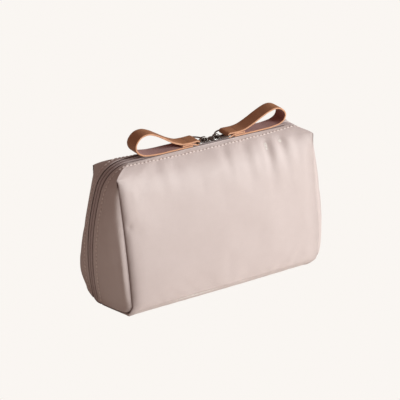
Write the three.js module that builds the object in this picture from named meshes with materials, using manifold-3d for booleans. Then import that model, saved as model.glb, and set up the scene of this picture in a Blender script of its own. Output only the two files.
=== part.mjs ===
// A soft zipped makeup bag: two padded halves that open like a book on the seam
// under the base, a coil zip with two sliders, and a leather loop on each slider.
// Millimetres. +Z up, the front faces -Y, the origin is under the middle of the base.
import * as THREE from 'three';
import { mergeVertices } from 'three/addons/utils/BufferGeometryUtils.js';
import Module from 'manifold-3d';

const wasm = await Module();
wasm.setup();

// Outline of the zip rim, seen from the front: a flat top, round corners, barrel sides.
const HALF_WIDTH = 111.7;        // widest point of the sides
const WIDEST_Z = 45;             // height of that widest point
const SIDE_RADIUS = 189;         // barrel curve of the sides
const CORNER_RADIUS = 28;        // round corner of the rim
const TOP_Z = 122.5;             // height of the rim

// Depth of one half, measured from the middle plane.
const RIM_Y = 5;                 // the rim's edge, so the zip shows 10 mm wide
const BASE_DEPTH = 37.3;         // half of the base
const EAR_DEPTH = 20;            // pinched corner at the top of each dart
const EAR_ANGLE = 49;            // where on the round corner the ear stands, degrees
const EAR_OUT = 2.3;             // the ear stands out past the rim by this much
const FLAP_RETURN = 13.4;        // the dart lies this far in from the rim at the base
const LEAN_POWER = 1.6;          // how the front leans back towards the top
const FACE_BULGE = 1.5;          // padding pushes the middle of the front out
const SHOULDER_DEPTH = 18.7;     // soft shoulder below the rim
const SHOULDER_DROP = 11;        // height over which the shoulder turns down
const SHOULDER_SPARE = 3.03;     // the shoulder's lean would pass the base by this much
const BASE_ROLL = 7;             // rolled edge round the base

// Layers of the wall, from outside in.
const FABRIC = 1.0;
const LAYER_GAP = 0.3;
const PADDING = 2.0;
const LINING = 0.8;
const BINDING = 0.5;

// Zip.
const TAPE_INSET = 1.5;          // top of the tape below the rim
const TAPE_THICK = 0.6;
const TAPE_HIDDEN = 4.5;         // part of the tape sewn under the rim
const COIL_HALF_GAP = 0.75;      // half the gap that the slider's post runs in
const COIL_WIDTH = 2.6;
const COIL_HEIGHT = 1.5;
const COIL_LIFT = 0.2;
const ZIP_END_Z = 5.3;           // the zip stops here on both sides
const SPINE_GAP = 0.3;           // each base panel stops short of the middle plane
const BASE_STRIP_Z = 1.6;        // below this the fabric runs in to the spine
const STOP_WIDTH = 5.2;          // end stop across both coils
const STOP_HEIGHT = 2.0;

// Stitching and bindings.
const STITCH_FROM_RIM = 4;
const STITCH_WIDTH = 0.6;
const STITCH_THICK = 0.35;
const STITCH_LIFT = 0.15;
const BINDING_FROM_RIM = 1.2;
const BINDING_WIDTH = 6.5;
const SPINE_BINDING_WIDTH = 8.4;
const SPINE_BINDING_THICK = 0.6;

// Sliders, pull rings and leather loops.
const SLIDERS_MEET_X = 4;
const SLIDER_GAP = 0.5;          // between the two closed sliders
const SLIDER_LENGTH = 11.5;
const SLIDER_WIDTH = 8.2;
const PLATE_THICK = 1.0;
const PLATE_CLEARANCE = 0.35;    // plate to coil, and plate to tape
const POST_WIDTH = 0.9;
const POST_LENGTH = 5;
const BRIDGE_SPAN = 5;
const BRIDGE_THICK = 0.9;
const BRIDGE_WIDTH = 2.6;
const WIRE_RADIUS = 0.65;
const WIRE_CLEARANCE = 0.3;
const RING_DEPTH = 9.5;
const RING_HALF_WIDTH = 8.2;
const RING_RISE = 0.75;          // the bar lies this much above the bridge end
const STRAP_WIDTH = 14;
const STRAP_THICK = 1.5;
const STRAP_LAYER_STEP = 1.62;   // from one stacked layer of the neck to the next
const STRAP_SEW_U = 8.5;         // sewn line across the neck, from the bar

const RAD = Math.PI / 180;
const FACE_STEPS = 10;
const FLAP_STEPS = 5;

// --- the rim outline ---------------------------------------------------------
const sideCentreX = HALF_WIDTH - SIDE_RADIUS;
const cornerCentreZ = TOP_Z - CORNER_RADIUS;
const cornerRise = cornerCentreZ - WIDEST_Z;
const cornerReach = Math.sqrt((SIDE_RADIUS - CORNER_RADIUS) ** 2 - cornerRise ** 2);
const cornerCentreX = sideCentreX + cornerReach;
const joinAngle = Math.atan2(cornerRise, cornerReach);
const shoulderLean = (BASE_DEPTH + FACE_BULGE + SHOULDER_SPARE - RIM_Y - SHOULDER_DEPTH) / TOP_Z;

// A station is one level of the half: where its rim point lies and which way it faces.
function sideStation(z) {
  const a = Math.asin((z - WIDEST_Z) / SIDE_RADIUS);
  return { kind: 'side', x: sideCentreX + SIDE_RADIUS * Math.cos(a), z, nx: Math.cos(a), nz: Math.sin(a) };
}

function cornerStation(a) {
  const x = cornerCentreX + CORNER_RADIUS * Math.cos(a);
  const z = cornerCentreZ + CORNER_RADIUS * Math.sin(a);
  return { kind: 'corner', x, z, nx: Math.cos(a), nz: Math.sin(a), angle: a };
}

function rollStation(turn) {
  const s = sideStation(BASE_ROLL);
  return { ...s, kind: 'roll', turn };
}

const ear = cornerStation(EAR_ANGLE * RAD);

function stations() {
  const list = [-90, -62, -32].map((deg) => rollStation(deg * RAD));
  const join = cornerCentreZ + CORNER_RADIUS * Math.sin(joinAngle);
  const sideLevels = [0, 0.14, 0.32, 0.5, 0.68, 0.85];
  for (const t of sideLevels) list.push(sideStation(BASE_ROLL + (join - BASE_ROLL) * t));
  const earAngle = EAR_ANGLE * RAD;
  for (const t of [0, 0.4, 0.7]) list.push(cornerStation(joinAngle + (earAngle - joinAngle) * t));
  for (const t of [0, 0.22, 0.5, 0.76, 1]) list.push(cornerStation(earAngle + (Math.PI / 2 - earAngle) * t));
  return list;
}

// --- the outline of a half at one station ------------------------------------
function dartDepth(z) {
  const t = Math.min(Math.max(z / ear.z, 0), 1);
  return EAR_DEPTH + (BASE_DEPTH - EAR_DEPTH) * (1 - t ** LEAN_POWER);
}

function dartX(z) {
  const t = Math.min(Math.max(z / ear.z, 0), 1);
  const low = sideStation(BASE_ROLL).x - FLAP_RETURN;
  return low + (ear.x + EAR_OUT - low) * t;
}

function faceDepth(z) {
  const h = Math.max(TOP_Z - z, 0);
  const shoulder = RIM_Y + SHOULDER_DEPTH * (1 - Math.exp(-h / SHOULDER_DROP)) + shoulderLean * h;
  return Math.min(dartDepth(z) + FACE_BULGE, Math.max(shoulder, RIM_Y + 0.9));
}

function levelOf(s, inset) {
  if (s.kind === 'roll') {
    const shrink = BASE_ROLL - (BASE_ROLL - inset) * Math.cos(s.turn);
    const z = BASE_ROLL + (BASE_ROLL - inset) * Math.sin(s.turn);
    const depth = dartDepth(BASE_ROLL);
    return { z, rim: s.x - shrink, x: dartX(BASE_ROLL) - shrink, y: depth - shrink, face: depth + FACE_BULGE - shrink };
  }
  const sideways = inset * s.nx;
  const z = s.z - inset * s.nz;
  const rim = s.x - sideways;
  if (s.kind === 'corner' && s.angle > EAR_ANGLE * RAD) {
    const t = (s.angle - EAR_ANGLE * RAD) / (Math.PI / 2 - EAR_ANGLE * RAD);
    const x = s.x + EAR_OUT + (-1.4 - EAR_OUT) * t - sideways;
    const y = RIM_Y + 0.7 + (EAR_DEPTH - RIM_Y - 0.7) * (1 - t) ** 1.3 - sideways;
    return { z, rim, x, y: Math.max(y, RIM_Y + 0.6), face: Math.max(faceDepth(s.z) - sideways, RIM_Y + 0.8) };
  }
  return { z, rim, x: dartX(s.z) - sideways, y: dartDepth(s.z) - sideways, face: faceDepth(s.z) - sideways };
}

// One ring of points, from the left of the flat side over the front to the right.
function ringAt(s, inset, flatY) {
  const lv = levelOf(s, inset);
  const right = [[lv.rim, flatY], [lv.rim, -RIM_Y]];
  const reach = 0.55 * (lv.y - RIM_Y);
  const control = [lv.rim - 0.3 * reach, -(RIM_Y + reach)];
  for (let i = 1; i <= FLAP_STEPS; i += 1) {
    const t = i / FLAP_STEPS;
    const k = [(1 - t) ** 2, 2 * t * (1 - t), t * t];
    right.push([
      k[0] * lv.rim + k[1] * control[0] + k[2] * lv.x,
      -(k[0] * RIM_Y) + k[1] * control[1] - k[2] * lv.y,
    ]);
  }
  const face = [];
  for (let i = 1; i < FACE_STEPS; i += 1) {
    const u = -1 + (2 * i) / FACE_STEPS;
    face.push([u * lv.x, -(lv.face + (lv.y - lv.face) * Math.abs(u) ** 2.6)]);
  }
  const left = right.map(([x, y]) => [-x, y]);
  return [...left, ...face, ...right.reverse()].map(([x, y]) => new THREE.Vector3(x, y, lv.z));
}

// --- solids ------------------------------------------------------------------
function geometryFrom(positions, index) {
  const g = new THREE.BufferGeometry();
  g.setAttribute('position', new THREE.Float32BufferAttribute(positions, 3));
  g.setIndex(index);
  return g;
}

function toSolid(geometry) {
  let g = geometry.clone();
  g.deleteAttribute('normal');
  g.deleteAttribute('uv');
  g = mergeVertices(g, 1e-5);
  return new wasm.Manifold(new wasm.Mesh({
    numProp: 3,
    vertProperties: new Float32Array(g.attributes.position.array),
    triVerts: new Uint32Array(g.index.array),
  }));
}

function toGeometry(solid) {
  const m = solid.getMesh();
  return geometryFrom(Array.from(m.vertProperties), Array.from(m.triVerts));
}

function moved(geometry, x, y, z) {
  return geometry.clone().translate(x, y, z);
}

function block(x0, x1, y0, y1, z0, z1) {
  const g = new THREE.BoxGeometry(x1 - x0, y1 - y0, z1 - z0);
  return toSolid(moved(g, (x0 + x1) / 2, (y0 + y1) / 2, (z0 + z1) / 2));
}

// The closed front half at an inset from its outside, flat on its rear side.
function halfSolid(inset, flatY) {
  const rings = stations().map((s) => ringAt(s, inset, flatY));
  const n = rings[0].length;
  const positions = rings.flat().flatMap((p) => [p.x, p.y, p.z]);
  const index = [];
  for (let k = 0; k + 1 < rings.length; k += 1) {
    for (let i = 0; i < n; i += 1) {
      const a = k * n + i;
      const b = k * n + ((i + 1) % n);
      index.push(a, b, a + n, b, b + n, a + n);
    }
  }
  capRing(positions, index, rings[0], 0, false);
  capRing(positions, index, rings[rings.length - 1], (rings.length - 1) * n, true);
  return toSolid(geometryFrom(positions, index));
}

function capRing(positions, index, ring, offset, up) {
  const flat = ring.map((p) => new THREE.Vector2(p.x, p.y));
  for (const [a, b, c] of THREE.ShapeUtils.triangulateShape(flat, [])) {
    const cross = (flat[b].x - flat[a].x) * (flat[c].y - flat[a].y) - (flat[b].y - flat[a].y) * (flat[c].x - flat[a].x);
    const keep = (cross > 0) === up;
    index.push(offset + a, offset + (keep ? b : c), offset + (keep ? c : b));
  }
}

const FAR = 400;
const BEHIND = 2;

function layer(outer, inner, yNear) {
  const wall = halfSolid(outer, -Math.min(yNear, RIM_Y)).subtract(halfSolid(inner, BEHIND));
  return yNear > RIM_Y ? wall.subtract(block(-FAR, FAR, -yNear, BEHIND, -FAR, FAR)) : wall;
}

function band(outer, inner, yNear, yFar, zLow) {
  return layer(outer, inner, yNear).intersect(block(-FAR, FAR, -yFar, BEHIND, zLow, FAR));
}

function mirroredToBack(geometry) {
  const g = geometry.clone();
  const p = g.attributes.position;
  for (let i = 0; i < p.count; i += 1) p.setY(i, -p.getY(i));
  const ix = Array.from(g.index.array);
  for (let i = 0; i < ix.length; i += 3) [ix[i + 1], ix[i + 2]] = [ix[i + 2], ix[i + 1]];
  g.setIndex(ix);
  return g;
}

// --- pieces of one half -------------------------------------------------------
const paddingAt = FABRIC + LAYER_GAP;
const liningAt = paddingAt + PADDING + LAYER_GAP;
const bindingAt = liningAt + LINING + LAYER_GAP;
const tapeFar = RIM_Y + TAPE_HIDDEN;
const coilBottom = TAPE_INSET - COIL_LIFT;
const coilTop = coilBottom - COIL_HEIGHT;

function shellSolid() {
  const whole = layer(0, FABRIC, SPINE_GAP);
  return whole.subtract(block(-FAR, FAR, -RIM_Y, BEHIND, BASE_STRIP_Z, FAR));
}

const halfPieces = {
  shell: toGeometry(shellSolid()),
  padding: toGeometry(layer(paddingAt, paddingAt + PADDING, tapeFar + LAYER_GAP)),
  lining: toGeometry(layer(liningAt, liningAt + LINING, RIM_Y + 0.5)),
  zip_tape: toGeometry(band(TAPE_INSET, TAPE_INSET + TAPE_THICK, COIL_HALF_GAP, tapeFar, ZIP_END_Z)),
  zip_coil: toGeometry(band(coilTop, coilBottom, COIL_HALF_GAP, COIL_HALF_GAP + COIL_WIDTH, ZIP_END_Z)),
  topstitch: toGeometry(band(
    -STITCH_LIFT - STITCH_THICK, -STITCH_LIFT,
    RIM_Y + STITCH_FROM_RIM - STITCH_WIDTH / 2, RIM_Y + STITCH_FROM_RIM + STITCH_WIDTH / 2, BASE_ROLL + 3)),
  seam_binding: toGeometry(band(
    bindingAt, bindingAt + BINDING, RIM_Y + BINDING_FROM_RIM, RIM_Y + BINDING_FROM_RIM + BINDING_WIDTH, ZIP_END_Z)),
};

// --- pieces on the base -------------------------------------------------------
function spineBinding() {
  const half = rollStation(-90 * RAD).x - BASE_ROLL - paddingAt;
  return new THREE.BoxGeometry(2 * half, SPINE_BINDING_WIDTH, SPINE_BINDING_THICK)
    .translate(0, 0, FABRIC + LAYER_GAP + SPINE_BINDING_THICK / 2);
}

// A small stop under the ends of both coils, inside the reach of the spine hinge.
function endStop(sign) {
  const z = ZIP_END_Z - 1.1 - STOP_HEIGHT / 2;
  const x = sideStation(z).x - coilTop - COIL_HEIGHT / 2;
  return new THREE.BoxGeometry(COIL_HEIGHT, STOP_WIDTH, STOP_HEIGHT).translate(sign * x, 0, z);
}

// --- sliders ------------------------------------------------------------------
const coilTopZ = TOP_Z - coilTop;
const tapeBottomZ = TOP_Z - TAPE_INSET - TAPE_THICK;
const upperPlateZ = coilTopZ + PLATE_CLEARANCE;
const lowerPlateTopZ = tapeBottomZ - PLATE_CLEARANCE;
const wireZ = upperPlateZ + PLATE_THICK + WIRE_CLEARANCE + WIRE_RADIUS;
const sliderOffset = SLIDER_GAP / 2 + SLIDER_LENGTH / 2;
const hookU = sliderOffset + 0.2;
const barU = hookU + RING_DEPTH;
const barZ = wireZ + RING_RISE;

// The outline of a plate: wide where the two chains part, narrower behind.
function plateShape() {
  const half = SLIDER_LENGTH / 2;
  const wide = SLIDER_WIDTH / 2;
  const shape = new THREE.Shape();
  shape.moveTo(half, -wide * 0.62);
  shape.lineTo(half - 1.4, -wide * 0.78);
  shape.lineTo(-half + 3.6, -wide);
  shape.lineTo(-half + 1.2, -wide);
  shape.lineTo(-half, -wide * 0.7);
  shape.lineTo(-half, wide * 0.7);
  shape.lineTo(-half + 1.2, wide);
  shape.lineTo(-half + 3.6, wide);
  shape.lineTo(half - 1.4, wide * 0.78);
  shape.lineTo(half, wide * 0.62);
  return shape;
}

// Everything on a slider is drawn going outwards along +X from where the two meet.
function sliderSolid() {
  const plate = new THREE.ExtrudeGeometry(plateShape(), { depth: PLATE_THICK, bevelEnabled: false });
  const upper = toSolid(moved(plate, sliderOffset, 0, upperPlateZ));
  const lower = toSolid(moved(plate, sliderOffset, 0, lowerPlateTopZ - PLATE_THICK));
  const postX = sliderOffset - SLIDER_LENGTH / 2 + 0.8;
  const post = block(postX, postX + POST_LENGTH, -POST_WIDTH / 2, POST_WIDTH / 2, lowerPlateTopZ - 0.5, upperPlateZ + 0.5);
  return upper.add(lower).add(post).add(bridgeSolid());
}

function bridgeSolid() {
  const inner = BRIDGE_SPAN / 2;
  const outer = inner + BRIDGE_THICK;
  const foot = upperPlateZ + PLATE_THICK - 0.4;
  const rise = wireZ + WIRE_RADIUS + WIRE_CLEARANCE;
  const shape = new THREE.Shape();
  shape.moveTo(-outer, foot);
  shape.lineTo(-outer, rise - 0.2);
  shape.lineTo(-outer + 0.9, rise + BRIDGE_THICK);
  shape.lineTo(outer - 0.9, rise + BRIDGE_THICK);
  shape.lineTo(outer, rise - 0.2);
  shape.lineTo(outer, foot);
  shape.lineTo(inner, foot);
  shape.lineTo(inner, rise - 0.5);
  shape.lineTo(inner - 0.6, rise);
  shape.lineTo(-inner + 0.6, rise);
  shape.lineTo(-inner, rise - 0.5);
  shape.lineTo(-inner, foot);
  const g = new THREE.ExtrudeGeometry(shape, { depth: BRIDGE_WIDTH, bevelEnabled: false });
  g.rotateX(Math.PI / 2);
  return toSolid(moved(g, hookU, BRIDGE_WIDTH / 2, 0));
}

// --- pull rings: a wire D whose bow hooks under the bridge ---------------------
function ringPath() {
  const points = [];
  const steps = 12;
  for (let i = 0; i <= steps; i += 1) {
    const t = (-90 + (180 * i) / steps) * RAD;
    const u = RING_DEPTH * (1 - Math.cos(t));
    points.push(new THREE.Vector3(hookU + u, RING_HALF_WIDTH * Math.sin(t), wireZ + (RING_RISE * u) / RING_DEPTH));
  }
  return points;
}

function ringGeometry() {
  const path = ringPath();
  const n = path.length;
  const sides = 8;
  const up = new THREE.Vector3(-RING_RISE, 0, RING_DEPTH).normalize();
  const positions = [];
  const index = [];
  for (let i = 0; i < n; i += 1) {
    const before = path[i].clone().sub(path[(i + n - 1) % n]).normalize();
    const after = path[(i + 1) % n].clone().sub(path[i]).normalize();
    const along = before.clone().add(after).normalize();
    const stretch = 1 / Math.max(along.dot(after), 0.3);
    const out = new THREE.Vector3().crossVectors(along, up).normalize();
    for (let j = 0; j < sides; j += 1) {
      const a = (2 * Math.PI * j) / sides;
      const p = path[i].clone();
      p.addScaledVector(out, WIRE_RADIUS * stretch * Math.cos(a));
      p.addScaledVector(up, WIRE_RADIUS * Math.sin(a));
      positions.push(p.x, p.y, p.z);
      const b = (j + 1) % sides;
      const m = (i + 1) % n;
      index.push(i * sides + j, m * sides + j, i * sides + b);
      index.push(i * sides + b, m * sides + j, m * sides + b);
    }
  }
  return geometryFrom(positions, index);
}

// --- leather loops --------------------------------------------------------------
// The strip starts as a short tail, folds round the ring's bar, runs out and back
// and ends at the neck under the tail. Points are (distance from the bar, height).
const foldRadius = WIRE_RADIUS + WIRE_CLEARANCE + STRAP_THICK / 2;
const tailW = 1.45 - STRAP_LAYER_STEP;
const lowerW = tailW - STRAP_LAYER_STEP;

const LEFT_LOOP = [
  [16, 2.2], [24, 5.6], [32, 10.4], [40, 15.0], [47, 17.3], [54, 15.8], [58.6, 10.2], [57.6, 4.2], [52.6, 0.4], [45, -1.2],
];
const RIGHT_LOOP = [
  [16, 2.5], [24, 5.8], [32, 9.8], [40, 13.2], [46.5, 14.5], [52.6, 12.6], [56.4, 7.6], [54.9, 2.6], [50, -0.3], [43, -1.4],
];

function strapLine(loop) {
  const points = [[15, tailW], [6, tailW]];
  for (const deg of [-75, -120, -160, 160, 120, 75]) {
    points.push([foldRadius * Math.cos(deg * RAD), foldRadius * Math.sin(deg * RAD)]);
  }
  points.push([6, 1.45], [10, 1.5], ...loop, [36, lowerW], [24, lowerW], [12, lowerW], [5, lowerW]);
  return points.map(([u, w]) => new THREE.Vector2(u, w));
}

function strapGeometry(loop) {
  const line = new THREE.SplineCurve(strapLine(loop)).getPoints(66);
  const offset = (sign) => line.map((p, i) => {
    const a = line[Math.max(i - 1, 0)];
    const b = line[Math.min(i + 1, line.length - 1)];
    const t = b.clone().sub(a).normalize();
    return new THREE.Vector2(p.x - t.y * sign * STRAP_THICK / 2, p.y + t.x * sign * STRAP_THICK / 2);
  });
  const shape = new THREE.Shape([...offset(1), ...offset(-1).reverse()]);
  const g = new THREE.ExtrudeGeometry(shape, { depth: STRAP_WIDTH, bevelEnabled: false });
  g.rotateX(Math.PI / 2);
  return moved(g, barU, STRAP_WIDTH / 2, barZ);
}

function strapStitchGeometry() {
  const z = barZ + 1.45 + STRAP_THICK / 2 + 0.2;
  return new THREE.BoxGeometry(0.9, STRAP_WIDTH - 4, 0.4).translate(barU + STRAP_SEW_U, 0, z + 0.2);
}

function mirroredToLeft(geometry) {
  const g = geometry.index ? geometry.clone() : mergeVertices(geometry.clone());
  const p = g.attributes.position;
  for (let i = 0; i < p.count; i += 1) p.setX(i, -p.getX(i));
  const ix = Array.from(g.index.array);
  for (let i = 0; i < ix.length; i += 3) [ix[i + 1], ix[i + 2]] = [ix[i + 2], ix[i + 1]];
  g.setIndex(ix);
  return g;
}

// --- the object -------------------------------------------------------------------
const LOOKS = {
  shell: [0xd3bfb9, 0.55, 0],
  padding: [0xe6e0da, 0.95, 0],
  lining: [0xc9b2ac, 0.6, 0],
  zip_tape: [0xa88f89, 0.8, 0],
  zip_coil: [0x9c8580, 0.5, 0],
  topstitch: [0xe4d3cd, 0.8, 0],
  seam_binding: [0xb39d97, 0.8, 0],
  metal: [0x4a4745, 0.3, 0.9],
  leather: [0x96694c, 0.6, 0],
  thread: [0xc99a78, 0.8, 0],
};

function mesh(name, geometry, look) {
  const [color, roughness, metalness] = LOOKS[look];
  const m = new THREE.Mesh(geometry, new THREE.MeshStandardMaterial({ color, roughness, metalness }));
  m.name = name;
  return m;
}

const bag = new THREE.Group();
for (const [piece, geometry] of Object.entries(halfPieces)) {
  bag.add(mesh(`front_${piece}`, geometry, piece));
  bag.add(mesh(`back_${piece}`, mirroredToBack(geometry), piece));
}
bag.add(mesh('base_seam_binding', spineBinding(), 'seam_binding'));
bag.add(mesh('left_end_stop', endStop(-1), 'metal'));
bag.add(mesh('right_end_stop', endStop(1), 'metal'));

const pullPieces = [
  ['slider', toGeometry(sliderSolid()), null, 'metal'],
  ['pull_ring', ringGeometry(), null, 'metal'],
  ['pull_strap', strapGeometry(RIGHT_LOOP), strapGeometry(LEFT_LOOP), 'leather'],
  ['strap_stitching', strapStitchGeometry(), null, 'thread'],
];
const pulls = new THREE.Group();
pulls.position.x = SLIDERS_MEET_X;
for (const [piece, right, left, look] of pullPieces) {
  pulls.add(mesh(`right_${piece}`, right, look));
  pulls.add(mesh(`left_${piece}`, mirroredToLeft(left ?? right), look));
}
bag.add(pulls);

export default bag;
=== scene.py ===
# A soft zipped makeup bag: two satin halves joined by a fold under the base, a zip
# over the top with two sliders, and a leather loop hooked to each slider.
# Sizes in the tables and shape functions are millimetres; meshes are made in metres.
import math

import bpy
import numpy as np
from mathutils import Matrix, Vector
from mathutils.bvhtree import BVHTree


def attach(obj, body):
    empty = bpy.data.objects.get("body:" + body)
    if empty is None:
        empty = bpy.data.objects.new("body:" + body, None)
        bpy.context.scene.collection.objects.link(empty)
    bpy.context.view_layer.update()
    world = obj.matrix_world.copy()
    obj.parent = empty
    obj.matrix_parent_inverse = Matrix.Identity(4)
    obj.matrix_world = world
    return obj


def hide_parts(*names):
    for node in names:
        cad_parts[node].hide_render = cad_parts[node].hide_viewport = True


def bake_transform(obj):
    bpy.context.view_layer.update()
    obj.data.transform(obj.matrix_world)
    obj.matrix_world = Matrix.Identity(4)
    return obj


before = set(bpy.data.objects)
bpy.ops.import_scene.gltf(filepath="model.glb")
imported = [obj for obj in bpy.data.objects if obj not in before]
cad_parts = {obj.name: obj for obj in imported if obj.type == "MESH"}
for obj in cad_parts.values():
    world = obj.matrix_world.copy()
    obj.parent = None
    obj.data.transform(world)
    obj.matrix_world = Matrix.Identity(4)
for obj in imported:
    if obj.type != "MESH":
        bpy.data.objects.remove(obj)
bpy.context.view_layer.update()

MM = 0.001

# The bag's outline, as in the solid model.
HALF_WIDTH = 111.7
WIDEST_Z = 45.0
SIDE_RADIUS = 189.0
CORNER_RADIUS = 28.0
TOP_Z = 122.5
RIM_Y = 5.0
BASE_DEPTH = 37.3
EAR_DEPTH = 20.0
EAR_ANGLE = math.radians(49)
EAR_OUT = 2.3
FLAP_RETURN = 13.4
LEAN_POWER = 1.6
FACE_BULGE = 1.5
SHOULDER_DEPTH = 18.7
SHOULDER_DROP = 11.0
SHOULDER_SPARE = 3.03
BASE_ROLL = 7.0
SHOULDER_BLEND = 3.0
ZIP_END_Z = 5.3
LINING_INSET = 4.3
LINING_CLEAR = 1.2
STITCH_FROM_RIM = 3.9
STITCH_PITCH = 3.5
COIL_PITCH = 1.45
SLIDERS_MEET_X = 4.0

# How far pinched, rolled and gathered fabric moves.
SEAM_DEPTH = 1.2
SEAM_WIDTH = 0.9
ROLL_DEPTH = 4.0
ROLL_WIDTH = 7.0
FLAP_DIP = 2.1
FLAP_DIP_WIDTH = 3.2
STITCH_PRESS = 0.1
STITCH_BAND = 1.1
RIGHT_SEAM_SHOWN = 0.45


# --- the zip rim, seen from the front -------------------------------------------
side_centre_x = HALF_WIDTH - SIDE_RADIUS
corner_centre_z = TOP_Z - CORNER_RADIUS
corner_rise = corner_centre_z - WIDEST_Z
corner_reach = math.sqrt((SIDE_RADIUS - CORNER_RADIUS) ** 2 - corner_rise ** 2)
corner_centre_x = side_centre_x + corner_reach
join_angle = math.atan2(corner_rise, corner_reach)
join_z = corner_centre_z + CORNER_RADIUS * math.sin(join_angle)
shoulder_lean = (BASE_DEPTH + FACE_BULGE + SHOULDER_SPARE - RIM_Y - SHOULDER_DEPTH) / TOP_Z


def side_station(z):
    a = math.asin((z - WIDEST_Z) / SIDE_RADIUS)
    return {"kind": "side", "x": side_centre_x + SIDE_RADIUS * math.cos(a), "z": z,
            "nx": math.cos(a), "nz": math.sin(a)}


def corner_station(a):
    return {"kind": "corner", "x": corner_centre_x + CORNER_RADIUS * math.cos(a),
            "z": corner_centre_z + CORNER_RADIUS * math.sin(a),
            "nx": math.cos(a), "nz": math.sin(a), "angle": a}


def roll_station(turn):
    s = side_station(BASE_ROLL)
    s.update(kind="roll", turn=turn)
    return s


EAR = corner_station(EAR_ANGLE)


def dart_depth(z):
    t = min(max(z / EAR["z"], 0), 1)
    return EAR_DEPTH + (BASE_DEPTH - EAR_DEPTH) * (1 - t ** LEAN_POWER)


def dart_x(z):
    t = min(max(z / EAR["z"], 0), 1)
    low = side_station(BASE_ROLL)["x"] - FLAP_RETURN
    return low + (EAR["x"] + EAR_OUT - low) * t


def face_depth(z):
    h = max(TOP_Z - z, 0)
    shoulder = RIM_Y + SHOULDER_DEPTH * (1 - math.exp(-h / SHOULDER_DROP)) + shoulder_lean * h
    shoulder = max(shoulder, RIM_Y + 0.9)
    leaning = dart_depth(z) + FACE_BULGE
    return (shoulder + leaning - math.sqrt((shoulder - leaning) ** 2 + SHOULDER_BLEND ** 2)) / 2


def level_of(s, inset):
    """Height, rim x, dart x, dart depth and mid-face depth of one station."""
    if s["kind"] == "roll":
        shrink = BASE_ROLL - (BASE_ROLL - inset) * math.cos(s["turn"])
        z = BASE_ROLL + (BASE_ROLL - inset) * math.sin(s["turn"])
        depth = dart_depth(BASE_ROLL)
        return z, s["x"] - shrink, dart_x(BASE_ROLL) - shrink, depth - shrink, depth + FACE_BULGE - shrink
    sideways = inset * s["nx"]
    z = s["z"] - inset * s["nz"]
    rim = s["x"] - sideways
    if s["kind"] == "corner" and s["angle"] > EAR_ANGLE:
        t = (s["angle"] - EAR_ANGLE) / (math.pi / 2 - EAR_ANGLE)
        x = s["x"] + EAR_OUT + (-1.4 - EAR_OUT) * t - sideways
        y = RIM_Y + 0.7 + (EAR_DEPTH - RIM_Y - 0.7) * (1 - t) ** 1.3 - sideways
        return z, rim, x, max(y, RIM_Y + 0.6), max(face_depth(s["z"]) - sideways, RIM_Y + 0.8)
    return z, rim, dart_x(s["z"]) - sideways, dart_depth(s["z"]) - sideways, face_depth(s["z"]) - sideways


def fine_stations():
    """Levels close together at the base seam, the ear and the rim."""
    heights = [0.0, 0.35, 1.0, 1.9, 2.8, 3.5, 4.1, 4.6, 5.0, 5.4, 5.9, 6.5]
    rolls = [roll_station(math.asin(max(-1.0, z / BASE_ROLL - 1))) for z in heights]
    sides = [side_station(z) for z in (7.0, 7.8, 8.8, 10.0, 11.5, 13.2, 15.2, 17.6)]
    sides += [side_station(z) for z in np.linspace(20.5, join_z - 2.6, 28)]
    lower = [corner_station(a) for a in np.linspace(join_angle, EAR_ANGLE, 9)]
    upper = [corner_station(EAR_ANGLE + (math.pi / 2 - EAR_ANGLE) * t)
             for t in (0.03, 0.08, 0.15, 0.24, 0.34, 0.45, 0.56, 0.67, 0.78, 0.88, 1.0)]
    return rolls + sides + lower + upper


def coarse_stations():
    rolls = [roll_station(math.radians(d)) for d in (-90, -55, -25)]
    sides = [side_station(z) for z in np.linspace(BASE_ROLL, join_z - 3, 22)]
    lower = [corner_station(a) for a in np.linspace(join_angle, EAR_ANGLE, 6)]
    upper = [corner_station(EAR_ANGLE + (math.pi / 2 - EAR_ANGLE) * t) for t in (0.15, 0.35, 0.55, 0.78, 1.0)]
    return rolls + sides + lower + upper


def flap_steps(count, near):
    """Places along a side flap from rim (0) to dart (1), closer together near the dart."""
    t = np.linspace(0, 1, count)
    return 1 - (1 - t) ** near


def face_steps(count):
    """Places across the face from -1 to 1, closer together at both darts."""
    s = np.linspace(-1, 1, count)
    return np.sign(s) * (1 - (1 - np.abs(s)) ** 1.45)


def half_grid(stations, flap_t, face_u, inset):
    """Points of the front half's surface: one row a station, one column a place round it."""
    rows = []
    for s in stations:
        z, rim, x, y, face = level_of(s, inset)
        reach = 0.55 * (y - RIM_Y)
        cx, cy = rim - 0.3 * reach, RIM_Y + reach
        fx = (1 - flap_t) ** 2 * rim + 2 * flap_t * (1 - flap_t) * cx + flap_t ** 2 * x
        fy = (1 - flap_t) ** 2 * RIM_Y + 2 * flap_t * (1 - flap_t) * cy + flap_t ** 2 * y
        ux = face_u[1:-1] * x
        uy = face + (y - face) * np.abs(face_u[1:-1]) ** 2.6
        px = np.concatenate([-fx, ux, fx[::-1]])
        py = np.concatenate([-fy, -uy, -fy[::-1]])
        rows.append(np.stack([px, py, np.full_like(px, z)], axis=1))
    return np.array(rows)


def grid_normals(p):
    du = np.gradient(p, axis=1)
    dv = np.gradient(p, axis=0)
    n = np.cross(du, dv)
    length = np.linalg.norm(n, axis=2, keepdims=True)
    return n / np.maximum(length, 1e-9)


def rolled_under(z):
    """The rim's station below the start of the base's roll."""
    turn = math.asin(z / BASE_ROLL - 1)
    s = side_station(BASE_ROLL)
    return {"x": s["x"] - BASE_ROLL * (1 - math.cos(turn)), "z": z, "nx": math.cos(turn), "nz": math.sin(turn)}


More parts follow.
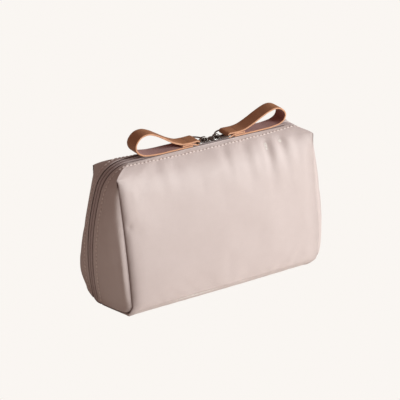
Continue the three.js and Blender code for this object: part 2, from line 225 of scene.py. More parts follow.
def rim_line(step, low=ZIP_END_Z):
    """Places every step along the rim from the left side's low end over the top to the right one."""
    right = [rolled_under(z) for z in np.linspace(low, BASE_ROLL, 10)][:-1]
    right += [side_station(z) for z in np.linspace(BASE_ROLL, join_z, 60)][:-1]
    right += [corner_station(a) for a in np.linspace(join_angle, math.pi / 2, 40)]
    xs = np.array([s["x"] for s in right])
    zs = np.array([s["z"] for s in right])
    nx = np.array([s["nx"] for s in right])
    nz = np.array([s["nz"] for s in right])
    pts = np.stack([np.concatenate([-xs, xs[::-1]]), np.concatenate([zs, zs[::-1]]),
                    np.concatenate([-nx, nx[::-1]]), np.concatenate([nz, nz[::-1]])], axis=1)
    run = lengths(pts[:, :2])
    places = np.linspace(0, run[-1], max(2, int(round(run[-1] / step)) + 1))
    line = np.stack([np.interp(places, run, pts[:, k]) for k in range(4)], axis=1)
    line[:, 2:] = units(line[:, 2:])
    return places, line


# --- making meshes ---------------------------------------------------------------
def make_mesh(name, points, faces, uv=None, smooth=True, slots=None):
    """A mesh object from points in millimetres. uv holds one (u, v) in metres a point."""
    mesh = bpy.data.meshes.new(name)
    mesh.from_pydata([tuple(p) for p in np.asarray(points, float) * MM], [], [tuple(int(i) for i in f) for f in faces])
    mesh.validate()
    obj = bpy.data.objects.new(name, mesh)
    bpy.context.scene.collection.objects.link(obj)
    if uv is not None:
        layer = mesh.uv_layers.new(name="cloth")
        loops = np.zeros(len(mesh.loops), int)
        mesh.loops.foreach_get("vertex_index", loops)
        layer.data.foreach_set("uv", np.asarray(uv, float)[loops].ravel())
    if slots is not None:
        mesh.polygons.foreach_set("material_index", np.asarray(slots, int))
    mesh.polygons.foreach_set("use_smooth", [smooth] * len(mesh.polygons))
    mesh.update()
    return obj


def grid_faces(rows, cols, start=0, flip=False, wrap=False):
    faces = []
    last = cols if wrap else cols - 1
    for r in range(rows - 1):
        for c in range(last):
            a = start + r * cols + c
            b = start + r * cols + (c + 1) % cols
            quad = (a, b, b + cols, a + cols)
            faces.append(quad[::-1] if flip else quad)
    return faces


def arc_length(p, axis):
    step = np.linalg.norm(np.diff(p, axis=axis), axis=2)
    zero = np.zeros((1, p.shape[1])) if axis == 0 else np.zeros((p.shape[0], 1))
    return np.concatenate([zero, np.cumsum(step, axis=axis)], axis=axis)


def lengths(line):
    """How far along a line of points each of them lies."""
    return np.concatenate([[0], np.cumsum(np.linalg.norm(np.diff(line, axis=0), axis=1))])


def units(vectors):
    return vectors / np.linalg.norm(vectors, axis=1, keepdims=True)


def end_caps(rows, m):
    """The faces that close both ends of a tube of rows rings of m points."""
    return [tuple(range(m))[::-1], tuple((rows - 1) * m + j for j in range(m))]


def border(rows, cols):
    """The places round the edge of a grid, in order."""
    loop = list(range(cols)) + [r * cols + cols - 1 for r in range(1, rows)]
    return loop + [(rows - 1) * cols + c for c in range(cols - 2, -1, -1)] + [r * cols for r in range(rows - 2, 0, -1)]


def spline_point(p0, p1, p2, p3, t):
    """A place between p1 and p2 on a smooth curve through all four."""
    return 0.5 * ((2 * p1) + (p2 - p0) * t + (2 * p0 - 5 * p1 + 4 * p2 - p3) * t ** 2
                  + (3 * p1 - p0 - 3 * p2 + p3) * t ** 3)


def mirror_y(points):
    out = np.array(points, float)
    out[..., 1] *= -1
    return out


def lattice_noise(p, seed):
    """Smooth value noise in -1..1 at points p, repeatable for a seed."""
    cell = np.floor(p).astype(int)
    f = p - cell
    f = f * f * (3 - 2 * f)
    total = np.zeros(p.shape[0])
    for dx in (0, 1):
        for dy in (0, 1):
            for dz in (0, 1):
                i = cell + (dx, dy, dz)
                h = (i[:, 0] * 374761393 + i[:, 1] * 668265263 + i[:, 2] * 2147483647 + seed * 974711) & 0x7FFFFFFF
                h = ((h ^ (h >> 13)) * 1274126177) & 0x7FFFFFFF
                value = ((h ^ (h >> 16)) % 20011) / 10005.5 - 1
                w = ((f[:, 0] if dx else 1 - f[:, 0]) * (f[:, 1] if dy else 1 - f[:, 1])
                     * (f[:, 2] if dz else 1 - f[:, 2]))
                total += value * w
    return total


def noise_at(points, size, seed):
    flat = np.asarray(points, float).reshape(-1, 3) / size
    return lattice_noise(flat, seed).reshape(np.asarray(points).shape[:-1])


# --- the satin cover of one half ----------------------------------------------------
def seam_points(side):
    """The dart seam: down from the ear, round the bottom corner and back to the zip's end."""
    pts = []
    for z in np.linspace(EAR["z"] - 0.3, 12.5, 80):
        pts.append((dart_x(z), -dart_depth(z), z))
    flap = np.array([1.0, 0.99, 0.97, 0.94, 0.9, 0.82, 0.6, 0.4, 0.2, 0.0])
    level = np.array([9.6, 7.4, 5.6, 4.3, 3.4, 2.8, 2.5, 2.4, 2.4, 2.4])
    for t, z in zip(flap, level):
        s = side_station(z) if z >= BASE_ROLL else roll_station(math.asin(z / BASE_ROLL - 1))
        g = half_grid([s], np.array([0.0, t, 1.0]), np.array([-1.0, 0.0, 1.0]), 0)[0]
        p = g[1]
        pts.append((-p[0], p[1], p[2]))
    pts = np.array(pts)
    pts[:, 0] *= side
    return pts


# The soft base corners: how far each swells out (+) or is rounded off (-), and its radius.
CORNERS = {False: {-1: (7.6, 10.0), 1: (-1.0, 16.0)}, True: {-1: (5.0, 8.0), 1: (-1.0, 13.0)}}
BASE_TIP_RADIUS = 4.5
# How far the side flaps swell at half height, left and right.
FLAP_SWELL = {False: {-1: 0.9, 1: 1.5}, True: {-1: 5.2, 1: 3.6}}


def sagged(points, back):
    """Points of the front half with their base corners moved and their side flaps swollen."""
    p = np.array(points, float)
    x, y, z = p[..., 0], np.abs(p[..., 1]), p[..., 2]
    level = np.clip(z, 0, None)
    dart = np.vectorize(dart_x)(level)
    deep = np.vectorize(dart_depth)(level)
    far = np.clip((y - RIM_Y) / (deep - RIM_Y), 0, 1)
    on_face = np.exp(-(np.clip(dart - 1.5 - np.abs(x), 0, None) / 15.0) ** 2)
    swollen = np.sin(math.pi * np.clip(far, 0, 1)) ** 1.4 * (np.abs(x) > dart - 6)
    high = np.exp(-(((z - 28.0) / np.where(z > 28.0, 30.0, 20.0)) ** 2)) * np.clip(z / 5.0, 0, 1)
    for side in (-1, 1):
        here = x * side > 0
        amount, radius = CORNERS[back][side]
        low = np.clip(1 - z / radius, 0, 1)
        if amount > 0:
            tip = np.clip(1 - z / BASE_TIP_RADIUS, 0, 1)
            reach = amount * low ** 1.5 - BASE_TIP_RADIUS * (1 - np.sqrt(1 - tip ** 2))
        else:
            reach = -radius * (1 - np.sqrt(np.clip(1 - low ** 2, 0, 1)))
        p[..., 0] += here * side * reach * far ** 1.6 * on_face
        p[..., 0] += here * side * FLAP_SWELL[back][side] * swollen * high
    return p


def distance_to_line(points, line):
    best = np.full(points.shape[:-1], 1e9)
    for a, b in zip(line[:-1], line[1:]):
        ab = b - a
        t = np.clip(((points - a) @ ab) / (ab @ ab), 0, 1)
        d = np.linalg.norm(points - (a + t[..., None] * ab), axis=-1)
        best = np.minimum(best, d)
    return best


def from_seams(points):
    """How far each point is from the nearer dart seam."""
    return np.min([distance_to_line(points, seam_points(side)) for side in (-1, 1)], axis=0)


def seam_share(z):
    """How much of a dart seam's roll shows at a height: less at the ear and at the base."""
    return np.clip((EAR["z"] - z) / 14.0, 0.15, 1) * np.clip((z - 3.0) / 14.0, 0.35, 1)


# Gathers under the stitching: (x, width, height out, length down) of each.
FRONT_GATHERS = [
    (-72, 7, 0.35, 14), (-56, 6, -0.5, 17), (-49, 6, 0.55, 18), (-38, 5, -0.4, 12), (-30, 7, 0.35, 13),
    (-14, 7, 0.3, 12),
    (2, 6, 0.4, 14), (9, 4.5, -0.9, 17), (16, 6, 0.7, 18), (29, 5, -0.6, 17), (37, 6, 0.9, 22), (44, 4.5, 0.4, 20),
    (50, 4.0, -1.3, 22), (57, 5, 1.1, 22), (64, 4.5, -0.8, 19), (71, 5.5, 0.8, 19), (80, 5, -0.3, 14),
    (87, 4.5, 0.3, 12),
]
BACK_GATHERS = [
    (-80, 6, 0.4, 15), (-66, 5, -0.8, 19), (-58, 6, 0.9, 20), (-43, 5, -0.7, 18), (-34, 6, 0.6, 18), (-20, 6, -0.4, 14),
    (-8, 6, 0.5, 15), (6, 5, -0.8, 18), (14, 6, 0.7, 18), (33, 6, 0.4, 13), (47, 5, -0.6, 16), (56, 6, 0.6, 16),
    (74, 7, 0.35, 13),
]
GATHER_STRENGTH = 1.5
GATHER_NARROWING = 0.8
# Dents in the padding: (x, z, radius, depth).
FRONT_DENTS = [(-90, 77.5, 2.4, 1.1), (-84, 72, 6.5, 0.5), (-60, 84, 17, 0.7), (64, 66, 22, 0.6), (16, 40, 26, 0.6),
               (-30, 24, 16, 0.5)]
BACK_DENTS = [(70, 72, 18, 0.8), (-40, 50, 24, 0.7), (8, 84, 15, 0.6)]


# How far the padding rounds the folds along the shoulder and the base.
FOLD_SPREAD = 6.5


def softened_folds(p, stations):
    """Rounds the folds that run from ear to ear and along the base, and leaves the ears sharp."""
    place = row_places(stations)
    kernel = np.exp(-((place[:, None] - place[None, :]) / FOLD_SPREAD) ** 2) * np.gradient(place)[None, :]
    kernel /= kernel.sum(axis=1, keepdims=True)
    soft = np.einsum("rk,kcd->rcd", kernel, p)
    z = p[..., 2]
    dart = np.array([level_of(s, 0)[2] for s in stations])[:, None]
    inward = np.clip((dart - np.abs(p[..., 0])) / 16.0, 0, 1)
    near_ear = np.exp(-((z - EAR["z"] + 2.0) / 15.0) ** 2) * np.clip((TOP_Z - z) / 5.0, 0, 1)
    near_base = np.exp(-(z / 11.0) ** 2) * np.clip(z / 2.0, 0, 1)
    share = inward * inward * (3 - 2 * inward) * np.clip(near_ear + near_base, 0, 1)
    return p + (soft - p) * share[..., None]


def shaped_cover(stations, flap_t, face_u, gathers, dents, seed):
    """The cover's points with its seams, gathers, dents and soft padding worked in, and how much painted shade each
    point gets in the seams and small dents.
    """
    p = softened_folds(half_grid(stations, flap_t, face_u, 0), stations)
    n = grid_normals(p)
    x, y, z = p[..., 0], p[..., 1], p[..., 2]
    out = np.zeros(x.shape)
    crease = np.zeros(x.shape)
    cols = p.shape[1]
    flap = np.zeros(cols)
    flap[:len(flap_t)] = flap[-len(flap_t):] = 1
    facing = np.clip(-n[..., 1], 0, 1)
    below = np.clip(TOP_Z - 1.8 - z, 0, None)
    for gx, width, height, length in gathers:
        wander = gx + 0.05 * below * math.sin(gx)
        fall = np.exp(-(below / length) ** 1.6) * (1 - np.exp(-(below / 3.2) ** 2))
        out += GATHER_STRENGTH * height * np.exp(-((x - wander) / (GATHER_NARROWING * width)) ** 2) * fall * facing
    for dx, dz, radius, depth in dents:
        out -= depth * np.exp(-((x - dx) ** 2 + (z - dz) ** 2) / radius ** 2) * facing
    soft = noise_at(p, 34.0, seed) * 0.55 + noise_at(p, 15.0, seed + 3) * 0.22
    from_rim = np.clip((np.abs(y) - RIM_Y) / 9.0, 0, 1)
    inside_base = np.clip(z / 9.0, 0, 1)
    out += soft * from_rim * inside_base
    band = np.exp(-((np.abs(y) - RIM_Y - STITCH_FROM_RIM) / STITCH_BAND) ** 2) * (z > 9)
    out -= STITCH_PRESS * band
    for side in (-1, 1):
        d = distance_to_line(p, seam_points(side))
        shown = 1.0 if side < 0 else RIGHT_SEAM_SHOWN
        start = np.clip((EAR["z"] + 1.5 - z) / 3.0, 0, 1)
        rolled = ROLL_DEPTH * (1 - np.sqrt(1 - (1 - np.clip(d / ROLL_WIDTH, 0, 1)) ** 2))
        broad = np.where(flap > 0, FLAP_DIP * np.exp(-(d / FLAP_DIP_WIDTH) ** 2), rolled)
        groove = SEAM_DEPTH * np.exp(-(d / SEAM_WIDTH) ** 1.5) + broad * seam_share(z)
        lip = np.where(flap > 0, 0.3, 0.0) * np.exp(-((d - 5.0) / 1.8) ** 2) * np.clip((80.0 - z) / 40.0, 0, 1)
        fold = 0.5 * np.exp(-((d - 4.0) / 1.9) ** 2) * flap * np.exp(-((z - 38) / 30.0) ** 2)
        pull = 0.22 * np.sin(z * 1.45 + 1.3 * np.sin(z * 0.31 + seed)) * np.exp(-(d / 4.5) ** 2)
        out += (lip + fold + pull - groove * (0.5 + 0.5 * shown)) * start
        # Painted shade: a near-black line along each dart seam, and a broader painted shade over the face's rolled edge
        # beside it.
        core = np.where(flap > 0, 1.15, 2.1) * shown
        crease = np.maximum(crease, np.exp(-(d / core) ** 3) * start * shown)
        shade = np.where(flap > 0, 0.12, 0.5) * np.exp(-(d / np.where(flap > 0, 2.6, 6.4)) ** 2)
        crease = np.maximum(crease, shown * shade * start)
    # Painted shade in the small dents.
    for dx, dz, radius, depth in dents:
        if radius < 5:
            crease = np.maximum(crease, 0.3 * np.exp(-((x - dx) ** 2 + (z - dz) ** 2) / radius ** 2) * facing)
    return p + n * out[..., None], crease


def cloth_settled(name, pressure):
    """Lets the cover swell and settle as cloth, held at rim, darts and base, and returns the
    movement of each coarse point. The coarse points are spread evenly for the simulation."""
    stations = coarse_stations()
    flap_t = flap_steps(9, 1.2)
    face_u = face_steps(47)
    p = half_grid(stations, flap_t, face_u, 0.6)
    rows, cols = p.shape[:2]
    obj = make_mesh(name, p.reshape(-1, 3), grid_faces(rows, cols))
    grip = np.zeros((rows, cols))
    grip[[0, -1], :] = 1
    grip[:, [0, len(flap_t) - 1, cols - len(flap_t), -1]] = 1
    group = obj.vertex_groups.new(name="held")
    for i, w in enumerate(grip.ravel()):
        if w > 0:
            group.add([i], float(w), "REPLACE")
    cloth = obj.modifiers.new("cloth", "CLOTH")
    st = cloth.settings
    st.quality = 6
    st.mass = 0.25
    st.tension_stiffness = 12
    st.compression_stiffness = 6
    st.shear_stiffness = 4
    st.bending_stiffness = 0.35
    st.vertex_group_mass = "held"
    st.pin_stiffness = 1
    st.use_pressure = True
    st.uniform_pressure_force = pressure
    st.shrink_min = -0.018
    st.effector_weights.gravity = 0
    cloth.collision_settings.use_collision = False
    scene = bpy.context.scene
    cloth.point_cache.frame_start = 1
    cloth.point_cache.frame_end = 24
    for f in range(1, 25):
        scene.frame_set(f)
    seen = obj.evaluated_get(bpy.context.evaluated_depsgraph_get()).to_mesh()
    moved = np.zeros(rows * cols * 3)
    seen.vertices.foreach_get("co", moved)
    moved = moved.reshape(rows, cols, 3) / MM - p
    scene.frame_set(1)
    bpy.data.objects.remove(obj, do_unlink=True)
    return stations, flap_t, face_u, moved


def column_places(flap_t, face_u):
    return np.concatenate([flap_t - 2, face_u[1:-1], 2 - flap_t[::-1]])


def row_places(stations):
    mid = half_grid(stations, np.array([0.0, 1.0]), np.array([-1.0, 0.0, 1.0]), 0)[:, 2]
    return lengths(mid)


def smooth_interp(x, xp, fp):
    """Cubic interpolation of the rows of fp, given at xp, to the places x."""
    slope = np.gradient(fp, xp, axis=0)
    i = np.clip(np.searchsorted(xp, x, side="right") - 1, 0, len(xp) - 2)
    h = (xp[i + 1] - xp[i])[(...,) + (None,) * (fp.ndim - 1)]
    t = ((x - xp[i]) / (xp[i + 1] - xp[i]))[(...,) + (None,) * (fp.ndim - 1)]
    a, b, ma, mb = fp[i], fp[i + 1], slope[i] * h, slope[i + 1] * h
    return ((2 * t ** 3 - 3 * t ** 2 + 1) * a + (t ** 3 - 2 * t ** 2 + t) * ma
            + (3 * t ** 2 - 2 * t ** 3) * b + (t ** 3 - t ** 2) * mb)


SETTLING_SHARE = 0.2
MOST_SETTLING = 1.8
MOST_INWARD = 0.5
LOOSE_FROM_SEAM = 8.0


def settled_moves(stations, flap_t, face_u, name, pressure):
    """The cloth simulation's movement at every fine point of the cover."""
    c_stations, c_flap, c_face, moved = cloth_settled(name, pressure)
    moved = moved * SETTLING_SHARE
    size = np.linalg.norm(moved, axis=2, keepdims=True)
    moved = moved * np.minimum(1, MOST_SETTLING / np.maximum(size, 1e-6))
    inward = -(moved * grid_normals(half_grid(c_stations, c_flap, c_face, 0.6))).sum(axis=2, keepdims=True)
    moved = moved * np.minimum(1, MOST_INWARD / np.maximum(inward, MOST_INWARD))
    rows = smooth_interp(row_places(stations), row_places(c_stations), moved)
    cols = smooth_interp(column_places(flap_t, face_u), column_places(c_flap, c_face), rows.transpose(1, 0, 2))
    return cols.transpose(1, 0, 2)


def cover_points(seed, gathers, dents, name, pressure, back):
    """The cover's points, and how much painted shade each gets in the seams and small dents."""
    stations = fine_stations()
    flap_t = flap_steps(22, 1.5)
    face_u = face_steps(96)
    p, crease = shaped_cover(stations, flap_t, face_u, gathers, dents, seed)
    loose = 1 - np.exp(-(from_seams(p) / LOOSE_FROM_SEAM) ** 2)
    p = p + settled_moves(stations, flap_t, face_u, name, pressure) * loose[..., None]
    p = sagged(p, back)
    p[..., 1] = np.minimum(p[..., 1], -RIM_Y + 0.35)
    p[..., 2] = np.maximum(p[..., 2], 0.0)
    return p, crease


# The hem's rows as (towards the middle plane, below the rim), and how much painted shade each gets as it turns under.
HEM_STEPS = [(0.28, 0.3), (0.34, 0.75), (0.1, 1.2), (-1.0, 1.7), (-2.4, 2.9)]
HEM_SHADE = [0.0, 0.15, 0.7, 1.0, 1.0]


def hem_rows(edge, normals):
    """The rim turned over inside: rows of points beside the edge."""
    return [edge + np.array([0, dy, 0]) - normals * d for dy, d in HEM_STEPS]


def cover_mesh(name, points, crease, back):
    """One half's cover: base panel, flaps and face in one grid, with the rim turned over."""
    cols = points.shape[1]
    edge_row = points[0]
    base = []
    for k in np.linspace(0, 1, 7)[:-1]:
        row = edge_row.copy()
        row[:, 1] = -0.2 + (edge_row[:, 1] + 0.2) * k
        base.append(row)
    grid = np.concatenate([np.array(base), points])
    faces = grid_faces(grid.shape[0], cols)
    u = arc_length(grid, 1)
    u -= u[:, cols // 2][:, None]
    v = arc_length(grid, 0)
    uv = np.stack([u, v], axis=2).reshape(-1, 2) * MM
    flat = grid.reshape(-1, 3)
    start = len(base)
    low = start + int(np.argmax(points[:, 0, 2] > 1.6))
    left = [r * cols for r in range(low, grid.shape[0])]
    top = [(grid.shape[0] - 1) * cols + c for c in range(1, cols - 1)]
    right = [r * cols + cols - 1 for r in range(grid.shape[0] - 1, low - 1, -1)]
    ring = left + top + right
    edge = flat[ring]
    along = np.gradient(edge, axis=0)
    along[:, 1] = 0
    normal = np.stack([-along[:, 2], np.zeros(len(along)), along[:, 0]], axis=1)
    normal /= np.maximum(np.linalg.norm(normal, axis=1, keepdims=True), 1e-9)
    all_points, all_uv = [flat], [uv]
    before = np.array(ring)
    count = len(flat)
    run = lengths(edge) * MM
    for k, row in enumerate(hem_rows(edge, normal)):
        now = count + np.arange(len(ring))
        faces += [(before[i], before[i + 1], now[i + 1], now[i]) for i in range(len(ring) - 1)]
        all_points.append(row)
        all_uv.append(np.stack([run, np.full(len(run), 0.2 + 0.0006 * k)], axis=1))
        before = now
        count += len(ring)
    pts = np.concatenate(all_points)
    if back:
        pts = mirror_y(pts)
        faces = [f[::-1] for f in faces]
    # Painted shade of each point: none on the base panel, the seams' and dents' painted shade on the cover, and
    # HEM_SHADE on the hem's rows.
    depth = np.concatenate([np.zeros(start * cols), crease.ravel(), np.repeat(HEM_SHADE, len(ring))])
    return painted_crease_shade(make_mesh(name, pts, faces, uv=np.concatenate(all_uv)), depth)


def painted_crease_shade(obj, depth):
    """Keeps on each point how much painted shade it gets, which its material darkens it by."""
    obj.data.attributes.new("crease", "FLOAT", "POINT").data.foreach_set("value", np.asarray(depth, np.float32))
    return obj


def tree_of(obj):
    return BVHTree.FromObject(obj, bpy.context.evaluated_depsgraph_get())


def drop_on(tree, x, z, nx, nz, y):
    """Where a line from outside, square to the rim, meets a surface: (place, normal) in millimetres."""
    start = Vector(((x + nx * 14) * MM, y * MM, (z + nz * 14) * MM))
    hit = tree.ray_cast(start, Vector((-nx, 0, -nz)), 0.06)
    if hit[0] is None:
        return None
    return np.array(hit[0]) / MM, np.array(hit[1])


def soft_capsule(length, width, height, around=8, along=5):
    """Points and faces of a plump stitch lying along X."""
    pts = []
    for i in range(along + 1):
        t = -1 + 2 * i / along
        swell = max(1 - abs(t) ** 3.2, 0.0) ** 0.5 if 0 < i < along else 0.12
        for j in range(around):
            a = 2 * math.pi * j / around
            pts.append((t * length / 2, math.cos(a) * width / 2 * swell, math.sin(a) * height / 2 * swell))
    return np.array(pts), grid_faces(along + 1, around, wrap=True) + end_caps(along + 1, around)


def lay_stitches(name, places, size):
    """One mesh of stitches. places holds (centre, direction, normal) for each."""
    shape, shape_faces = soft_capsule(*size)
    pts, faces, uv = [], [], []
    for k, (centre, along, normal) in enumerate(places):
        along = along / np.linalg.norm(along)
        across = np.cross(normal, along)
        across /= np.linalg.norm(across)
        up = np.cross(along, across)
        m = np.stack([along, across, up], axis=0)
        pts.append(shape @ m + centre)
        faces += [tuple(i + k * len(shape) for i in f) for f in shape_faces]
        uv.append(np.stack([shape[:, 0] * MM + k * 0.01, shape[:, 1] * MM], axis=1))
    return make_mesh(name, np.concatenate(pts), faces, uv=np.concatenate(uv))


# Stitches as (length, width, height), with the points round and along the small ones.
TOP_STITCH = (2.7, 1.2, 0.62)
TOP_STITCH_LIFT = 0.24
LADDER_STITCH = (1.7, 0.45, 0.45, 6, 3)
LADDER_PITCH = 2.6
NECK_STITCH = (2.1, 0.62, 0.5)
NECK_STITCH_PITCH = 2.7


def topstitching(name, cover, y_sign):
    """The even row of stitches a little way in from the rim."""
    tree = tree_of(cover)
    line = rim_line(STITCH_PITCH / 2)[1]
    places = []
    y = y_sign * (RIM_Y + STITCH_FROM_RIM)
    hits = [drop_on(tree, x, z, nx, nz, y) for x, z, nx, nz in line]
    for i in range(2, len(hits) - 2, 2):
        if None in (hits[i - 1], hits[i], hits[i + 1]):
            continue
        along = hits[i + 1][0] - hits[i - 1][0]
        if np.linalg.norm(along) > STITCH_PITCH * 1.6:
            continue
        normal = hits[i][1]
        if normal @ np.array([line[i][2], 0.0, line[i][3]]) < 0:
            normal = -normal
        places.append((hits[i][0] + normal * TOP_STITCH_LIFT, along, normal))
    return lay_stitches(name, places, TOP_STITCH)


def seam_ladder(name, back):
    """Small stitches that cross the dart seams, sunk in their grooves."""
    places = []
    for side in (-1, 1):
        line = seam_points(side)
        run = lengths(line)
        for s in np.arange(4.0, run[-1] - 6, LADDER_PITCH):
            here = np.array([np.interp(s, run, line[:, k]) for k in range(3)])
            ahead = np.array([np.interp(s + 0.5, run, line[:, k]) for k in range(3)])
            out = np.array([side * 0.62, -0.78, 0.0]) if here[2] > 9 else np.array([side * 0.75, -0.2, -0.63])
            along = np.cross(out, ahead - here) + (ahead - here) * 0.25
            sunk = 0.7 + 2.2 * seam_share(here[2])
            places.append((sagged(here, back) - out * sunk, along, out))
    if back:
        places = [(mirror_y(c), mirror_y(a), mirror_y(n)) for c, a, n in places]
    return lay_stitches(name, places, LADDER_STITCH)


# --- inside: lining and wadding ---------------------------------------------------------
def lining_mesh(name, back, seed):
    stations = coarse_stations()
    flap_t = flap_steps(12, 1.3)
    face_u = face_steps(70)
    p = half_grid(stations, flap_t, face_u, LINING_INSET)
    n = grid_normals(p)
    below = np.clip(TOP_Z - 6 - p[..., 2], 0, None)
    crease = 0.45 * np.sin(p[..., 0] / 3.1 + 1.7 * np.sin(p[..., 0] / 17.0 + seed)) * np.exp(-(below / 20.0) ** 1.5)
    soft = noise_at(p, 22.0, seed) * 0.5 + noise_at(p, 9.0, seed + 5) * 0.16
    room = np.clip((np.abs(p[..., 1]) - RIM_Y) / 8.0, 0, 1)
    clear = LINING_CLEAR * np.exp(-(from_seams(p) / LOOSE_FROM_SEAM) ** 2)
    p = p + n * (((soft + crease) * room) * 0.8 - clear)[..., None]
    p = sagged(p, back)
    p[..., 2] = np.maximum(p[..., 2], LINING_INSET - 0.2)
    row = p[0]
    base = []
    for k in np.linspace(0, 1, 6)[:-1]:
        r = row.copy()
        r[:, 1] = -2.6 + (row[:, 1] + 2.6) * k
        base.append(r)
    grid = np.concatenate([np.array(base), p])
    u, v = arc_length(grid, 1), arc_length(grid, 0)
    faces = grid_faces(grid.shape[0], grid.shape[1], flip=not back)
    pts = grid.reshape(-1, 3)
    if back:
        pts = mirror_y(pts)
    return make_mesh(name, pts, faces, uv=np.stack([u, v], axis=2).reshape(-1, 2) * MM)


WADDING_OUTSIDE = 1.6
WADDING_INSIDE = 3.6
WADDING_TUCK_WIDTH = 4.0


def wadding_mesh(name, back):
    """Closed tray of wadding between the cover and the lining."""
    stations = [s for s in coarse_stations() if s["kind"] != "corner" or s["angle"] < math.radians(66)]
    flap_t = np.linspace(0.3, 1, 8)
    face_u = face_steps(36)
    outer = half_grid(stations, flap_t, face_u, WADDING_OUTSIDE)
    inner = half_grid(stations, flap_t, face_u, WADDING_INSIDE)
    tuck = np.exp(-(from_seams(outer) / WADDING_TUCK_WIDTH) ** 2)[..., None]
    outer = outer - grid_normals(outer) * 2.1 * tuck
    inner = inner - grid_normals(inner) * 0.3 * tuck
    outer, inner = sagged(outer, back), sagged(inner, back)
    outer[..., 2] = np.maximum(outer[..., 2], WADDING_OUTSIDE)
    inner[..., 2] = np.maximum(inner[..., 2], 2.6)
    rows, cols = outer.shape[:2]
    count = rows * cols
    faces = grid_faces(rows, cols) + grid_faces(rows, cols, start=count, flip=True)
    loop = border(rows, cols)
    for i, a in enumerate(loop):
        b = loop[(i + 1) % len(loop)]
        faces.append((b, a, a + count, b + count))
    pts = np.concatenate([outer.reshape(-1, 3), inner.reshape(-1, 3)])
    if back:
        pts = mirror_y(pts)
        faces = [f[::-1] for f in faces]
    uv = np.tile(np.stack([arc_length(outer, 1), arc_length(outer, 0)], axis=2).reshape(-1, 2) * MM, (2, 1))
    return make_mesh(name, pts, faces, uv=uv)


# --- the zip ------------------------------------------------------------------------------
def swept_band(name, line, run, section, back, closed=True):
    """A strip along the rim line. section holds (distance from the middle plane, depth under the rim)."""
    pts = []
    for x, z, nx, nz in line:
        for y, d in section:
            pts.append((x - nx * d, -y, z - nz * d))
    m = len(section)
    faces = grid_faces(len(line), m, wrap=closed, flip=True)
    if closed:
        faces.append(tuple(range(m)))
        faces.append(tuple((len(line) - 1) * m + j for j in range(m))[::-1])
    girth = lengths(section)
    uv = np.array([(r * MM, g * MM) for r in run for g in girth])
    pts = np.array(pts)
    if back:
        pts = mirror_y(pts)
        faces = [f[::-1] for f in faces]
    return make_mesh(name, pts, faces, uv=uv)


def zip_tape(name, back):
    run, line = rim_line(2.0, low=1.0)
    section = [(0.12, 0.85), (0.14, 0.42), (0.5, 0.16), (1.8, 0.1), (3.1, 0.22), (3.45, 0.6), (3.8, 1.7), (4.7, 3.3),
               (7.9, 4.7), (7.9, 5.0), (4.6, 3.7), (3.5, 2.0), (3.0, 0.75), (0.6, 0.7)]
    # Painted shade on the tape's section, darkest at the edges that dip under the rim.
    depth = [1.0, 0.75, 0.1, 0.0, 0.05, 0.6, 1.0, 1.0, 1.0, 1.0, 1.0, 1.0, 1.0, 1.0]
    return painted_crease_shade(swept_band(name, line, run, section, back), depth * len(line))


COIL_RADIUS = 0.34
COIL_STEPS = 10


def zip_coil(name, back):
    """One side of the zip's nylon coil, a flattened helix whose turns lie between the other side's."""
    run, line = rim_line(0.5, low=4.5)
    turns = int(run[-1] / COIL_PITCH) - 1
    phase = 0.5 if back else 0.0
    angles = np.arange(turns * COIL_STEPS + 1) / COIL_STEPS
    where = (angles + phase) * COIL_PITCH + 0.4
    x, z, nx, nz = (np.interp(where, run, line[:, k]) for k in range(4))
    lean = 0.22 * COIL_PITCH * np.sin(2 * math.pi * angles)
    tx, tz = nz, -nx
    y = 1.15 + 1.75 * np.cos(2 * math.pi * angles)
    d = 1.42 - 0.36 * np.sin(2 * math.pi * angles)
    centre = np.stack([x - nx * d + tx * lean, -y, z - nz * d + tz * lean], axis=1)
    if back:
        centre = mirror_y(centre)
    return tube_mesh(name, centre, COIL_RADIUS, 5)


def tube_mesh(name, centre, radius, sides, cyclic=False):
    """A round tube along points, with parallel-carried sections."""
    n = len(centre)
    if cyclic:
        along = np.roll(centre, -1, axis=0) - np.roll(centre, 1, axis=0)
    else:
        along = np.gradient(centre, axis=0)
    along /= np.linalg.norm(along, axis=1, keepdims=True)
    ref = np.zeros_like(along)
    side = np.cross(along[0], [0.0, 0.0, 1.0])
    if np.linalg.norm(side) < 0.1:
        side = np.cross(along[0], [0.0, 1.0, 0.0])
    for i in range(n):
        side = side - along[i] * (side @ along[i])
        side /= np.linalg.norm(side)
        ref[i] = side
    other = np.cross(along, ref)
    a = np.linspace(0, 2 * math.pi, sides, endpoint=False)
    pts = centre[:, None] + radius * (np.cos(a)[None, :, None] * ref[:, None]
                                      + np.sin(a)[None, :, None] * other[:, None])
    pts = pts.reshape(-1, 3)
    faces = grid_faces(n, sides, wrap=True)
    if cyclic:
        last = (n - 1) * sides
        faces += [(last + j, last + (j + 1) % sides, (j + 1) % sides, j) for j in range(sides)]
    else:
        faces += end_caps(n, sides)
    run = lengths(centre) * MM
    uv = np.array([(r, radius * MM * t) for r in run for t in a])
    return make_mesh(name, pts, faces, uv=uv)


